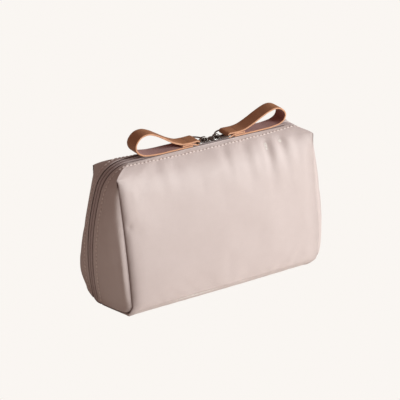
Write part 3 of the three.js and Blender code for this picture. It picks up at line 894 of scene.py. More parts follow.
def rim_binding(name, lining, back):
    """The ribbon that covers the raw edges along the rim, inside the bag."""
    tree = tree_of(lining)
    sign = 1 if back else -1
    run, line = rim_line(4.0)
    ys = (6.4, 8.2, 10.2, 12.2, 12.6)
    rows = []
    kept_run = []
    for r, (x, z, nx, nz) in zip(run, line):
        hits = [drop_on(tree, x, z, nx, nz, sign * y) for y in ys]
        if any(h is None for h in hits):
            continue
        n = np.array([nx, 0, nz])
        here = np.array([x, 0, z])
        depth = [float((here - h[0]) @ n) for h in hits]
        section = [(5.25, 2.3), (5.0, 3.0), (5.3, depth[0] + 0.35), (6.4, depth[0] + 0.6)]
        section += [(y, d + 0.55) for y, d in zip(ys[1:4], depth[1:4])] + [(ys[4], depth[4] + 0.05)]
        rows.append([here - n * d + np.array([0, sign * y, 0]) for y, d in section])
        kept_run.append(r)
    pts = np.array(rows)
    faces = grid_faces(pts.shape[0], pts.shape[1], flip=not back)
    uv = np.array([(r * MM, 0.0012 * j) for r in kept_run for j in range(pts.shape[1])])
    return make_mesh(name, pts.reshape(-1, 3), faces, uv=uv)


FOLD_HALF_LENGTH = 100.0


def spine_fold(name):
    """The folded seam between the two base panels: fabric below, ribbon inside."""
    xs = np.linspace(-FOLD_HALF_LENGTH, FOLD_HALF_LENGTH, 40)
    pts, faces, uv = [], [], []
    for z, width, lift in ((0.32, 5.0, 0.0), (4.75, 6.0, 0.25)):
        ys = np.linspace(-width, width, 13)
        top = np.array([(x, y, z + 0.45 + lift * math.cos(y / width * 1.5)) for x in xs for y in ys])
        low = top - np.array([0, 0, 0.4])
        start = len(pts)
        pts += list(top) + list(low)
        rows, cols = len(xs), len(ys)
        faces += grid_faces(rows, cols, start=start) + grid_faces(rows, cols, start=start + rows * cols, flip=True)
        loop = border(rows, cols)
        for i, a in enumerate(loop):
            b = loop[(i + 1) % len(loop)]
            faces.append((start + a, start + b, start + b + rows * cols, start + a + rows * cols))
        uv += [(p[0] * MM, p[1] * MM) for p in list(top) + list(low)]
    return make_mesh(name, pts, faces, uv=uv)


# --- metal parts of the pulls -----------------------------------------------------------
# Everything on a pull is drawn going outwards along +X from where the sliders meet.
def placed(points, side):
    pts = np.array(points, float)
    pts[..., 0] = SLIDERS_MEET_X + side * pts[..., 0]
    return pts


def smooth_outline(corners, steps):
    """A closed smooth curve through the corners."""
    c = np.array(corners, float)
    n = len(c)
    out = []
    for i in range(n):
        p0, p1, p2, p3 = c[i - 1], c[i], c[(i + 1) % n], c[(i + 2) % n]
        for k in range(steps):
            out.append(spline_point(p0, p1, p2, p3, k / steps))
    return np.array(out)


def turned_plate(outline, levels):
    """A plate of the outline's shape. levels holds (inset, height) pairs from its under side to its top."""
    n = len(outline)
    along = np.roll(outline, -1, axis=0) - np.roll(outline, 1, axis=0)
    out = units(np.stack([along[:, 1], -along[:, 0]], axis=1))
    centre = outline.mean(axis=0)
    if ((outline - centre) * out).sum() < 0:
        out = -out
    pts = []
    for inset, z in levels:
        far = outline - out * inset
        pts.append(np.column_stack([far, np.full(n, z)]))
    faces = grid_faces(len(levels), n, wrap=True)
    pts = np.concatenate(pts + [[[centre[0], centre[1], levels[0][1]], [centre[0], centre[1], levels[-1][1]]]])
    low, high = len(pts) - 2, len(pts) - 1
    top = (len(levels) - 1) * n
    for i in range(n):
        j = (i + 1) % n
        faces.append((low, j, i))
        faces.append((high, top + i, top + j))
    if (outline[0, 0] * outline[1, 1] - outline[1, 0] * outline[0, 1]) < 0:
        faces = [f[::-1] for f in faces]
    return pts, faces


def joined(parts):
    pts, faces, count = [], [], 0
    for p, f in parts:
        pts.append(np.asarray(p, float))
        faces += [tuple(int(i) + count for i in face) for face in f]
        count += len(p)
    return np.concatenate(pts), faces


def rounded_section(width, thick, radius, across):
    """A flat bar's section as (across, up) points: along its top, down one edge, back and up the other."""
    half, high = width / 2, thick / 2
    flat = [radius - half + (width - 2 * radius) * k / across for k in range(across + 1)]

    def bend(y_sign, z_sign, angles):
        return [(y_sign * (half - radius) + radius * math.cos(math.radians(a)),
                 z_sign * (high - radius) + radius * math.sin(math.radians(a))) for a in angles]

    far_edge = bend(1, 1, (67.5, 45, 22.5, 0)) + bend(1, -1, (0, -22.5, -45, -67.5))
    near_edge = bend(-1, -1, (-112.5, -135, -157.5, -180)) + bend(-1, 1, (180, 157.5, 135, 112.5))
    return np.array([(y, high) for y in flat] + far_edge + [(-y, -high) for y in flat] + near_edge)


def swept_bar(path, section):
    """A bar of the section along a path of (x, z) points, lying across Y."""
    path = np.asarray(path, float)
    along = units(np.gradient(path, axis=0))
    up = np.stack([-along[:, 1], along[:, 0]], axis=1)
    pts = []
    for p, n in zip(path, up):
        for y, h in section:
            pts.append((p[0] + n[0] * h, y, p[1] + n[1] * h))
    m = len(section)
    return np.array(pts), grid_faces(len(path), m, wrap=True) + end_caps(len(path), m)


SLIDER_MIDDLE = 6.0
HOOK_X = 6.2
WIRE_Z = 125.0
RING_DEPTH = 9.5
RING_RISE = 0.75
RING_HALF_WIDTH = 8.2
WIRE_RADIUS = 0.65
BAR_X = HOOK_X + RING_DEPTH
BAR_Z = WIRE_Z + RING_RISE
PLATE_CORNERS = [
    (5.75, 0.0), (5.6, 1.7), (4.6, 2.75), (1.6, 3.3), (-1.6, 3.95), (-4.0, 4.1), (-5.3, 3.4), (-5.72, 1.8), (-5.4, 0.0),
    (-5.72, -1.8), (-5.3, -3.4), (-4.0, -4.1), (-1.6, -3.95), (1.6, -3.3), (4.6, -2.75), (5.6, -1.7),
]


def slider_mesh(name, side):
    """Two plates joined by a post, with a bridge over the upper one that holds the ring."""
    outline = smooth_outline(PLATE_CORNERS, 5) + np.array([SLIDER_MIDDLE, 0.0])
    upper = turned_plate(outline, [(0.9, 123.06), (0.5, 122.98), (0.18, 122.9), (0.0, 123.02), (0.0, 123.75),
                                   (0.1, 123.95), (0.3, 124.06), (0.75, 124.1)])
    lower = turned_plate(outline, [(0.5, 119.05), (0.12, 119.15), (0.0, 119.35), (0.0, 119.85), (0.15, 120.02),
                                   (0.5, 120.04)])
    post_line = np.array([3.6, 0.0]) + smooth_outline(
        [(-2.4, 0), (-1.6, 0.42), (1.2, 0.42), (2.6, 0), (1.2, -0.42), (-1.6, -0.42)], 4)
    post = turned_plate(post_line, [(0.0, 119.9), (0.0, 123.2)])
    half_arch = [(3.0, 124.7), (2.75, 125.5), (2.2, 126.1), (1.3, 126.42)]
    arch = [(-3.1, 123.8)] + [(-x, z) for x, z in half_arch] + [(0.0, 126.5)] + half_arch[::-1] + [(3.1, 123.8)]
    arch = np.array(arch) + np.array([HOOK_X, 0.0])
    fine = smooth_outline(arch, 4)[:4 * (len(arch) - 1) + 1]
    bridge = swept_bar(fine, rounded_section(2.6, 0.72, 0.3, 4))
    foot = smooth_outline([(-0.9, 0), (-0.5, 1.5), (0.5, 1.5), (0.9, 0), (0.5, -1.5), (-0.5, -1.5)], 4)
    foot_near, foot_far = (turned_plate(foot + np.array([x, 0.0]), [(0.0, 123.9), (0.05, 124.3), (0.35, 124.55)])
                           for x in (HOOK_X - 3.1, HOOK_X + 3.1))
    pts, faces = joined([upper, lower, post, bridge, foot_near, foot_far])
    if side < 0:
        faces = [f[::-1] for f in faces]
    return make_mesh(name, placed(pts, side), faces)


def ring_mesh(name, side):
    """The wire ring: a bow under the bridge and a straight bar for the leather."""
    bow = [(HOOK_X + RING_DEPTH * (1 - math.cos(t)), RING_HALF_WIDTH * math.sin(t))
           for t in np.linspace(-1.47, 1.47, 41)]
    bar = [(BAR_X - 0.02, y) for y in np.linspace(7.4, -7.4, 21)]
    corner = [(BAR_X - 0.28, 7.97), (BAR_X - 0.08, 7.75)]
    corner_back = [(BAR_X - 0.08, -7.75), (BAR_X - 0.28, -7.97)]
    flat = np.array(bow + corner + bar + corner_back)
    for _ in range(2):
        flat = 0.5 * flat + 0.25 * (np.roll(flat, 1, axis=0) + np.roll(flat, -1, axis=0))
    line = np.column_stack([flat[:, 0], flat[:, 1], WIRE_Z + RING_RISE * (flat[:, 0] - HOOK_X) / RING_DEPTH])
    return tube_mesh(name, placed(line, side), WIRE_RADIUS, 14, cyclic=True)


# --- leather loops ------------------------------------------------------------------------
STRAP_WIDTH = 14.0
STRAP_THICK = 1.32
STRAP_LAYER_STEP = 1.62
TAIL_UP = 1.45 - STRAP_LAYER_STEP
LOWER_UP = TAIL_UP - STRAP_LAYER_STEP
FOLD_RADIUS = 1.7
SEWN_LINE = 8.5

LEFT_LOOP = [
    (16, 2.2), (24, 5.6), (32, 10.4), (40, 15.0), (47, 17.3), (54, 15.8), (58.6, 10.2), (57.6, 4.2), (52.6, 0.4),
    (45, -1.2),
]
RIGHT_LOOP = [
    (16, 2.5), (24, 5.8), (32, 9.8), (40, 13.2), (46.5, 14.5), (52.6, 12.6), (56.4, 7.6), (54.9, 2.6), (50, -0.3),
    (43, -1.4),
]


def strap_line(loop):
    """The strip's middle: a tail, round the ring's bar, out and back to the neck."""
    pts = [(15, TAIL_UP), (6, TAIL_UP)]
    pts += [(FOLD_RADIUS * math.cos(math.radians(d)), FOLD_RADIUS * math.sin(math.radians(d)))
            for d in (-75, -120, -160, 160, 120, 75)]
    pts += [(6, 1.45), (10, 1.5)] + loop + [(36, LOWER_UP), (24, LOWER_UP), (12, LOWER_UP), (5, LOWER_UP)]
    c = np.array(pts, float)
    c = np.concatenate([[2 * c[0] - c[1]], c, [2 * c[-1] - c[-2]]])
    out = []
    for i in range(1, len(c) - 2):
        p0, p1, p2, p3 = c[i - 1:i + 3]
        for t in np.linspace(0, 1, 14, endpoint=False):
            out.append(spline_point(p0, p1, p2, p3, t))
    out.append(c[-2])
    line = np.array(out)
    run = lengths(line)
    even = np.linspace(0, run[-1], 210)
    return even, np.column_stack([np.interp(even, run, line[:, 0]), np.interp(even, run, line[:, 1])])


def strap_mesh(name, side, loop, seed):
    """A leather strip: grain side out, flesh side in, cut edges between (three finishes)."""
    run, line = strap_line(loop)
    for _ in range(2):
        line[1:-1] = 0.5 * line[1:-1] + 0.25 * (line[:-2] + line[2:])
    along = units(np.gradient(line, axis=0))
    up = np.stack([-along[:, 1], along[:, 0]], axis=1)
    section = rounded_section(STRAP_WIDTH, STRAP_THICK, 0.3, 10)
    m = len(section)
    kind = []
    for j in range(m):
        y0, h0 = section[j]
        y1, h1 = section[(j + 1) % m]
        mid_y, mid_h = abs(y0 + y1) / 2, (h0 + h1) / 2
        if mid_y > STRAP_WIDTH / 2 - 0.3:
            kind.append(2)
        else:
            kind.append(0 if mid_h > 0 else 1)
    girth = lengths(section)
    pts = []
    bar = np.array([BAR_X, BAR_Z])
    for i, (p, n) in enumerate(zip(line, up)):
        pinch = math.exp(-((p[0] - SEWN_LINE) / 0.75) ** 2) * (1 if abs(p[1]) < 4 else 0)
        lift = 0.12 * math.sin(run[i] / 6.1 + seed)
        for y, h in section:
            edge = abs(y) / (STRAP_WIDTH / 2)
            wobble = 0.05 * math.sin(run[i] * 1.9 + 2.3 * math.sin(run[i] * 0.7) + y) * (edge > 0.9)
            hh = h * (1 - 0.30 * pinch * (abs(y) < 6.4)) - 0.09 * edge ** 4
            tilt = lift * y / STRAP_WIDTH * (1 if run[i] > 40 and run[i] < run[-1] - 40 else 0)
            yy = y * (1 + wobble / STRAP_WIDTH)
            at = p + n * (hh + tilt)
            pts.append((bar[0] + at[0], yy, bar[1] + at[1]))
    uv = [(r * MM, g * MM) for r in run for g in girth]
    faces = grid_faces(len(line), m, wrap=True)
    slots = [kind[k % m] for k in range(len(faces))]
    faces += end_caps(len(line), m)
    slots += [2, 2]
    if side < 0:
        faces = [f[::-1] for f in faces]
    return make_mesh(name, placed(pts, side), faces, uv=uv, slots=slots)


def neck_stitches(name, side):
    """A short row of thread across the neck, pulled into the leather."""
    places = []
    z = BAR_Z + 1.45 + STRAP_THICK / 2 - 0.12
    x = BAR_X + SEWN_LINE
    for k in range(4):
        y = NECK_STITCH_PITCH * (k - 1.5)
        places.append((placed(np.array([x, y, z]), side), np.array([0.12, 1.0, 0.0]), np.array([0.0, 0.0, 1.0])))
    return lay_stitches(name, places, NECK_STITCH)


def end_stop_mesh(name, side):
    """A small crimped clamp over the ends of both coils."""
    s = side_station(3.2)
    x = s["x"] - 1.6
    outline = smooth_outline([(0.75, 0), (0.72, 1.5), (0.55, 2.45), (0, 2.6), (-0.55, 2.45), (-0.72, 1.5), (-0.75, 0),
                              (-0.72, -1.5), (-0.55, -2.45), (0, -2.6), (0.55, -2.45), (0.72, -1.5)], 4)
    outline = outline + np.array([x, 0.0])
    pts, faces = turned_plate(outline, [(0.25, 2.22), (0.06, 2.3), (0.0, 2.45), (0.0, 2.95), (0.16, 3.2), (0.0, 3.45),
                                        (0.0, 3.9), (0.06, 4.08), (0.25, 4.16)])
    pts[:, 0] *= side
    if side < 0:
        faces = [f[::-1] for f in faces]
    return make_mesh(name, pts, faces)


# --- shared surface effects -----------------------------------------------------------------
class Tree:
    """Short ways to add and join nodes in one node tree."""

    def __init__(self, tree):
        self.tree = tree

    def add(self, kind, values=None, **settings):
        node = self.tree.nodes.new(kind)
        for key, value in settings.items():
            setattr(node, key, value)
        for key, value in (values or {}).items():
            if isinstance(value, bpy.types.NodeSocket):
                self.tree.links.new(value, node.inputs[key])
            else:
                node.inputs[key].default_value = value
        return node

    def math(self, operation, a, b=0.0, clamp=False):
        return self.add("ShaderNodeMath", {0: a, 1: b}, operation=operation, use_clamp=clamp).outputs[0]

    def mix(self, factor, a, b, blend="MIX"):
        return self.add("ShaderNodeMix", {0: factor, 6: a, 7: b}, data_type="RGBA", blend_type=blend).outputs[2]

    def ramp(self, value, low, high):
        return self.add("ShaderNodeMapRange", {0: value, 1: low, 2: high, 3: 0.0, 4: 1.0}).outputs[0]

    def noise(self, vector, scale, detail=2.0, rough=0.5):
        values = {"Vector": vector, "Scale": scale, "Detail": detail, "Roughness": rough}
        return self.add("ShaderNodeTexNoise", values).outputs[0]


def effect_group(name, inputs, outputs):
    """An empty node group with the named inputs (name, kind, default) and outputs (name, kind)."""
    group = bpy.data.node_groups.new(name, "ShaderNodeTree")
    for socket, kind, value in inputs:
        made = group.interface.new_socket(name=socket, in_out="INPUT", socket_type="NodeSocket" + kind)
        if value is not None:
            made.default_value = value
    for socket, kind in outputs:
        group.interface.new_socket(name=socket, in_out="OUTPUT", socket_type="NodeSocket" + kind)
    t = Tree(group)
    return group, t, t.add("NodeGroupInput").outputs, t.add("NodeGroupOutput").inputs


def weave_effect():
    """Yarns of a woven cloth. Count and Step give plain weave (2, 1), twill (3, 1) or satin (5, 2)."""
    group, t, got, give = effect_group(
        "woven_yarns",
        [("Cloth", "Vector", None), ("Yarn", "Float", 0.0004), ("Count", "Float", 2.0), ("Step", "Float", 1.0),
         ("Slub", "Float", 0.2)],
        [("Height", "Float"), ("Over", "Float"), ("Slubs", "Float")])
    wobble = t.add("ShaderNodeTexNoise", {"Vector": got["Cloth"], "Scale": 260.0, "Detail": 1.0}).outputs[1]
    shift = t.add("ShaderNodeVectorMath", {0: wobble, 1: (0.5, 0.5, 0.5)}, operation="SUBTRACT").outputs[0]
    shift = t.add("ShaderNodeVectorMath", {0: shift, 3: 0.00022}, operation="SCALE").outputs[0]
    place = t.add("ShaderNodeVectorMath", {0: got["Cloth"], 1: shift}, operation="ADD").outputs[0]
    axes = t.add("ShaderNodeSeparateXYZ", {0: place}).outputs
    u = t.math("DIVIDE", axes[0], got["Yarn"])
    v = t.math("DIVIDE", axes[1], got["Yarn"])
    cell = t.math("ADD", t.math("FLOOR", u), t.math("MULTIPLY", t.math("FLOOR", v), got["Step"]))
    part = t.math("FLOORED_MODULO", cell, got["Count"])
    over = t.math("LESS_THAN", part, 0.5)
    warp = t.math("ABSOLUTE", t.math("SINE", t.math("MULTIPLY", u, math.pi)))
    weft = t.math("ABSOLUTE", t.math("SINE", t.math("MULTIPLY", v, math.pi)))
    height = t.add("ShaderNodeMix", {0: over, 2: warp, 3: weft}, data_type="FLOAT").outputs[0]
    long = t.add("ShaderNodeVectorMath", {0: got["Cloth"], 1: (60.0, 900.0, 60.0)}, operation="MULTIPLY").outputs[0]
    slub = t.noise(long, 1.0, 3.0, 0.6)
    t.tree.links.new(t.math("ADD", height, t.math("MULTIPLY", slub, got["Slub"])), give["Height"])
    t.tree.links.new(over, give["Over"])
    t.tree.links.new(slub, give["Slubs"])
    return group


def mottle_effect():
    """Soft uneven tone over a surface: a broad drift and a finer one."""
    group, t, got, give = effect_group(
        "soft_mottle", [("Place", "Vector", None), ("Broad", "Float", 12.0), ("Fine", "Float", 90.0),
                        ("Share", "Float", 0.35)],
        [("Tone", "Float"), ("Specks", "Float")])
    broad = t.noise(got["Place"], got["Broad"], 2.0, 0.5)
    fine = t.noise(got["Place"], got["Fine"], 4.0, 0.6)
    tone = t.add("ShaderNodeMix", {0: got["Share"], 2: broad, 3: fine}, data_type="FLOAT").outputs[0]
    t.tree.links.new(t.ramp(tone, 0.32, 0.68), give["Tone"])
    specks = t.noise(got["Place"], t.math("MULTIPLY", got["Fine"], 9.0), 1.0)
    t.tree.links.new(t.ramp(specks, 0.62, 0.74), give["Specks"])
    return group


def hide_effect():
    """The pebbled cells, creases and pores of leather."""
    group, t, got, give = effect_group(
        "hide_grain", [("Place", "Vector", None), ("Size", "Float", 0.0011), ("Pores", "Float", 0.4)],
        [("Height", "Float"), ("Valleys", "Float")])
    fine = t.math("DIVIDE", 1.0, got["Size"])
    cells = {"Vector": got["Place"], "Scale": fine, "Randomness": 0.95}
    cells = t.add("ShaderNodeTexVoronoi", cells, feature="DISTANCE_TO_EDGE").outputs[0]
    raised = t.ramp(cells, 0.0, 0.22)
    pits = t.add("ShaderNodeTexVoronoi", {"Vector": got["Place"], "Scale": t.math("MULTIPLY", fine, 2.6)}).outputs[0]
    pits = t.math("MULTIPLY", t.math("SUBTRACT", 1.0, t.ramp(pits, 0.05, 0.3)), got["Pores"])
    rough = t.noise(got["Place"], t.math("MULTIPLY", fine, 1.6), 3.0, 0.6)
    height = t.math("SUBTRACT", t.math("ADD", t.math("MULTIPLY", raised, 0.7), t.math("MULTIPLY", rough, 0.5)), pits)
    t.tree.links.new(height, give["Height"])
    t.tree.links.new(t.math("SUBTRACT", 1.0, raised), give["Valleys"])
    return group


def fibre_effect():
    """Loose fibres and twist, running along the first axis of the place given."""
    group, t, got, give = effect_group(
        "fibres", [("Place", "Vector", None), ("Along", "Float", 250.0), ("Across", "Float", 4000.0)],
        [("Height", "Float"), ("Strands", "Float")])
    stretch = t.add("ShaderNodeCombineXYZ", {0: got["Along"], 1: got["Across"], 2: got["Across"]}).outputs[0]
    place = t.add("ShaderNodeVectorMath", {0: got["Place"], 1: stretch}, operation="MULTIPLY").outputs[0]
    strands = t.noise(place, 1.0, 4.0, 0.65)
    t.tree.links.new(strands, give["Height"])
    t.tree.links.new(t.ramp(strands, 0.38, 0.62), give["Strands"])
    return group


def handling_effect():
    """Fine scratches and finger smudges."""
    group, t, got, give = effect_group(
        "handling_marks", [("Place", "Vector", None), ("Scratches", "Float", 0.5)],
        [("Smudge", "Float"), ("Scratch", "Float")])
    smudge = t.ramp(t.noise(got["Place"], 420.0, 4.0, 0.65), 0.35, 0.7)
    skew = t.add("ShaderNodeVectorMath", {0: got["Place"], 1: (700.0, 5200.0, 1500.0)}, operation="MULTIPLY").outputs[0]
    scratch = t.math("MULTIPLY", t.ramp(t.noise(skew, 1.0, 2.0, 0.5), 0.6, 0.72), got["Scratches"])
    t.tree.links.new(smudge, give["Smudge"])
    t.tree.links.new(scratch, give["Scratch"])
    return group


WEAVE = weave_effect()
MOTTLE = mottle_effect()
HIDE = hide_effect()
FIBRES = fibre_effect()
MARKS = handling_effect()


def finish_material(name, roughness, metallic=0.0, **uniform):
    """A new material: its tree helper, shader and coordinates. uniform sets the shader's own values."""
    material = bpy.data.materials.new(name)
    material.use_nodes = True
    tree = material.node_tree
    shader = next(n for n in tree.nodes if n.type == "BSDF_PRINCIPLED")
    shader.inputs["Roughness"].default_value = roughness
    shader.inputs["Metallic"].default_value = metallic
    for key, value in uniform.items():
        shader.inputs[key.replace("_", " ")].default_value = value
    t = Tree(tree)
    where = t.add("ShaderNodeTexCoord").outputs
    return material, t, shader, where


def bumped(t, shader, *layers):
    """Joins bumps (height, distance in metres, strength) one on the other into the shader's normal."""
    normal = None
    for height, distance, strength in layers:
        values = {"Height": height, "Distance": distance, "Strength": strength}
        if normal is not None:
            values["Normal"] = normal
        normal = t.add("ShaderNodeBump", values).outputs[0]
    t.tree.links.new(normal, shader.inputs["Normal"])


def into(t, value, shader, socket):
    t.tree.links.new(value, shader.inputs[socket])


def effect(t, group, place, **values):
    """A node of one of the shared effects, at the given place."""
    node = t.add("ShaderNodeGroup", node_tree=group)
    for key, value in values.items():
        node.inputs[key].default_value = value
    t.tree.links.new(place, node.inputs["Cloth" if group == WEAVE else "Place"])
    return node


# Colour of the painted shade deep in a crease: how much of each of the cloth's dark colour is left.
PAINTED_SHADE_TINT = (0.15, 0.08, 0.07)


def woven_material(name, light, dark, roughness, yarn, count, step, height, share=0.5, **uniform):
    """Woven cloth: yarns of two tones, slubs, a soft drift of tone over the piece, and painted shade where the crease
    attribute is set.
    """
    material, t, shader, where = finish_material(name, roughness, **uniform)
    yarns = effect(t, WEAVE, where["UV"], Yarn=yarn, Count=count, Step=step, Slub=0.25)
    mottle = effect(t, MOTTLE, where["Object"], Broad=14.0, Fine=160.0, Share=0.3)
    drift = t.mix(mottle.outputs["Tone"], dark + (1.0,), light + (1.0,))
    deep = tuple(c * 0.84 for c in dark) + (1.0,)
    low = t.math("MULTIPLY", t.math("SUBTRACT", 1.0, t.ramp(yarns.outputs["Height"], 0.1, 0.9)), share)
    # Painted shade: the crease attribute darkens the cloth towards a near-black in seams, small dents, the hem's turn
    # and the tape's edges.
    crease = t.math("MULTIPLY", t.add("ShaderNodeAttribute", attribute_name="crease").outputs["Fac"], 0.92)
    painted_shade_colour = tuple(c * f for c, f in zip(dark, PAINTED_SHADE_TINT)) + (1.0,)
    into(t, t.mix(crease, t.mix(low, drift, deep), painted_shade_colour), shader, "Base Color")
    change = t.math("MULTIPLY", t.math("SUBTRACT", mottle.outputs["Specks"], 0.2), 0.12)
    rougher = t.math("MULTIPLY", yarns.outputs["Over"], 0.05)
    into(t, t.math("ADD", t.math("ADD", change, roughness), rougher), shader, "Roughness")
    bumped(t, shader, (mottle.outputs["Tone"], 0.0006, 0.12), (yarns.outputs["Height"], height, 0.55))
    return material


def wadding_material():
    """Loose white-pink fleece."""
    material, t, shader, where = finish_material("wadding_fleece", 0.95, Sheen_Weight=0.4, Sheen_Roughness=0.6)
    fibres = effect(t, FIBRES, where["Object"], Along=700.0, Across=1500.0)
    into(t, t.mix(fibres.outputs["Strands"], (0.62, 0.56, 0.52, 1), (0.84, 0.79, 0.75, 1)), shader, "Base Color")
    bumped(t, shader, (fibres.outputs["Height"], 0.0006, 0.8))
    return material


def nylon_material():
    """The coil's smooth moulded monofilament, painted lighter where seen edge-on: a painted sheen."""
    material, t, shader, where = finish_material("nylon_coil", 0.34, IOR=1.53, Specular_IOR_Level=0.45, Coat_Weight=0.1,
                                                 Coat_Roughness=0.25)
    mottle = effect(t, MOTTLE, where["Object"], Broad=60.0, Fine=600.0)
    # Painted sheen: the coil is mixed towards a lighter colour where its surface is seen edge-on.
    edge = t.add("ShaderNodeLayerWeight", {"Blend": 0.35}).outputs[1]
    body = t.mix(mottle.outputs["Tone"], (0.36, 0.28, 0.275, 1), (0.45, 0.36, 0.35, 1))
    into(t, t.mix(t.math("MULTIPLY", edge, 0.4), body, (0.62, 0.53, 0.51, 1)), shader, "Base Color")
    into(t, t.math("ADD", 0.3, t.math("MULTIPLY", mottle.outputs["Specks"], 0.2)), shader, "Roughness")
    bumped(t, shader, (mottle.outputs["Specks"], 0.00004, 0.5))
    return material


def thread_material(name, light, dark):
    """Twisted polyester sewing thread."""
    material, t, shader, where = finish_material(name, 0.6, Sheen_Weight=0.3, Sheen_Roughness=0.4)
    axes = t.add("ShaderNodeSeparateXYZ", {0: where["UV"]}).outputs
    twist = t.math("SINE", t.math("ADD", t.math("MULTIPLY", axes[0], 9000.0), t.math("MULTIPLY", axes[1], 7000.0)))
    twist = t.ramp(twist, -1.0, 1.0)
    fibres = effect(t, FIBRES, where["UV"], Along=1200.0, Across=9000.0)
    tone = t.mix(t.math("MULTIPLY", twist, 0.6), dark + (1.0,), light + (1.0,))
    into(t, t.mix(t.math("MULTIPLY", fibres.outputs["Strands"], 0.25), tone, light + (1.0,)), shader, "Base Color")
    bumped(t, shader, (twist, 0.00012, 0.7), (fibres.outputs["Height"], 0.00003, 0.5))
    return material


def gunmetal_material():
    """Dark plated zinc with brighter rubbed places."""
    material, t, shader, where = finish_material("gunmetal_plating", 0.25, 1.0)
    marks = effect(t, MARKS, where["Object"], Scratches=0.6)
    mottle = effect(t, MOTTLE, where["Object"], Broad=180.0, Fine=1400.0)
    body = t.mix(mottle.outputs["Tone"], (0.24, 0.225, 0.215, 1), (0.36, 0.345, 0.33, 1))
    into(t, t.mix(marks.outputs["Scratch"], body, (0.55, 0.53, 0.5, 1)), shader, "Base Color")
    into(t, t.math("ADD", 0.17, t.math("MULTIPLY", marks.outputs["Smudge"], 0.16)), shader, "Roughness")
    bumped(t, shader, (marks.outputs["Scratch"], 0.00003, 0.4), (mottle.outputs["Specks"], 0.00002, 0.4))
    return material


def grain_material():
    """The strip's finished grain side: warm brown, pebbled, a little waxed."""
    material, t, shader, where = finish_material("leather_grain_side", 0.5, IOR=1.46, Coat_Weight=0.12,
                                                 Coat_Roughness=0.35)
    hide = effect(t, HIDE, where["UV"], Size=0.0009, Pores=0.35)
    mottle = effect(t, MOTTLE, where["Object"], Broad=55.0, Fine=420.0)
    girth = t.add("ShaderNodeSeparateXYZ", {0: where["UV"]}).outputs[1]
    rubbed = t.math("MULTIPLY", t.math("SUBTRACT", 1.0, t.ramp(girth, 0.0, 0.0011)), 0.5)
    far_rub = t.math("MULTIPLY", t.math("LESS_THAN", girth, 0.0145), 0.5)
    rubbed = t.math("ADD", rubbed, t.math("MULTIPLY", t.ramp(girth, 0.0122, 0.0133), far_rub))
    body = t.mix(mottle.outputs["Tone"], (0.50, 0.225, 0.112, 1), (0.64, 0.31, 0.16, 1))
    body = t.mix(t.math("MULTIPLY", hide.outputs["Valleys"], 0.45), body, (0.3, 0.125, 0.06, 1))
    into(t, t.mix(t.math("MULTIPLY", rubbed, mottle.outputs["Tone"]), body, (0.5, 0.27, 0.16, 1)), shader, "Base Color")
    into(t, t.math("ADD", 0.42, t.math("MULTIPLY", mottle.outputs["Tone"], 0.16)), shader, "Roughness")
    bumped(t, shader, (mottle.outputs["Tone"], 0.0002, 0.3), (hide.outputs["Height"], 0.00012, 0.55))
    return material


def flesh_material():
    """The strip's inner side: dyed red-brown and slightly napped."""
    material, t, shader, where = finish_material("leather_flesh_side", 0.85, Sheen_Weight=0.35, Sheen_Roughness=0.5)
    fibres = effect(t, FIBRES, where["UV"], Along=1800.0, Across=2400.0)
    mottle = effect(t, MOTTLE, where["Object"], Broad=80.0, Fine=900.0)
    body = t.mix(mottle.outputs["Tone"], (0.31, 0.10, 0.082, 1), (0.44, 0.165, 0.138, 1))
    nap = t.math("MULTIPLY", fibres.outputs["Strands"], 0.4)
    into(t, t.mix(nap, body, (0.42, 0.2, 0.165, 1)), shader, "Base Color")
    bumped(t, shader, (fibres.outputs["Height"], 0.0002, 0.6))
    return material


def cut_edge_material():
    """The strip's raw cut edge, in pale layers."""
    material, t, shader, where = finish_material("leather_cut_edge", 0.7)
    fibres = effect(t, FIBRES, where["UV"], Along=300.0, Across=5200.0)
    mottle = effect(t, MOTTLE, where["Object"], Broad=120.0, Fine=800.0)
    body = t.mix(fibres.outputs["Strands"], (0.56, 0.27, 0.145, 1), (0.78, 0.46, 0.29, 1))
    into(t, t.mix(t.math("MULTIPLY", mottle.outputs["Tone"], 0.35), body, (0.48, 0.2, 0.1, 1)), shader, "Base Color")
    bumped(t, shader, (fibres.outputs["Height"], 0.0002, 0.6))
    return material


SATIN = woven_material("outer_satin", (0.665, 0.572, 0.552), (0.625, 0.532, 0.512), 0.48, 0.00030, 5.0, 2.0, 0.00005,
                       share=0.35, Sheen_Weight=0.22, Sheen_Roughness=0.35, Specular_IOR_Level=0.4, Anisotropic=0.3)
LINING_SATIN = woven_material("lining_cloth", (0.55, 0.42, 0.39), (0.49, 0.365, 0.34), 0.5, 0.00035, 3.0, 1.0, 0.00006,
                              share=0.4, Sheen_Weight=0.2, Sheen_Roughness=0.4)
TAPE_WEAVE = woven_material("zip_tape_weave", (0.64, 0.54, 0.53), (0.57, 0.47, 0.46), 0.72, 0.00055, 3.0, 1.0, 0.00018,
                            share=0.7, Sheen_Weight=0.15, Sheen_Roughness=0.5)
RIBBON = woven_material("binding_ribbon", (0.43, 0.32, 0.30), (0.38, 0.275, 0.26), 0.66, 0.0006, 2.0, 1.0, 0.0002,
                        share=0.6, Sheen_Weight=0.2, Sheen_Roughness=0.5)
FLEECE = wadding_material()
NYLON = nylon_material()
PINK_THREAD = thread_material("topstitch_thread", (0.95, 0.86, 0.82), (0.80, 0.68, 0.64))
# The seam thread is coloured near-black as painted shade: it stands in for the shade in the seam's groove.
SEAM_THREAD_IN_PAINTED_SHADE = thread_material("seam_thread_painted_shade", (0.20, 0.13, 0.115), (0.12, 0.075, 0.068))
TAN_THREAD = thread_material("neck_thread", (0.5, 0.27, 0.16), (0.36, 0.17, 0.09))
GUNMETAL = gunmetal_material()
GRAIN = grain_material()
FLESH = flesh_material()
CUT_EDGE = cut_edge_material()


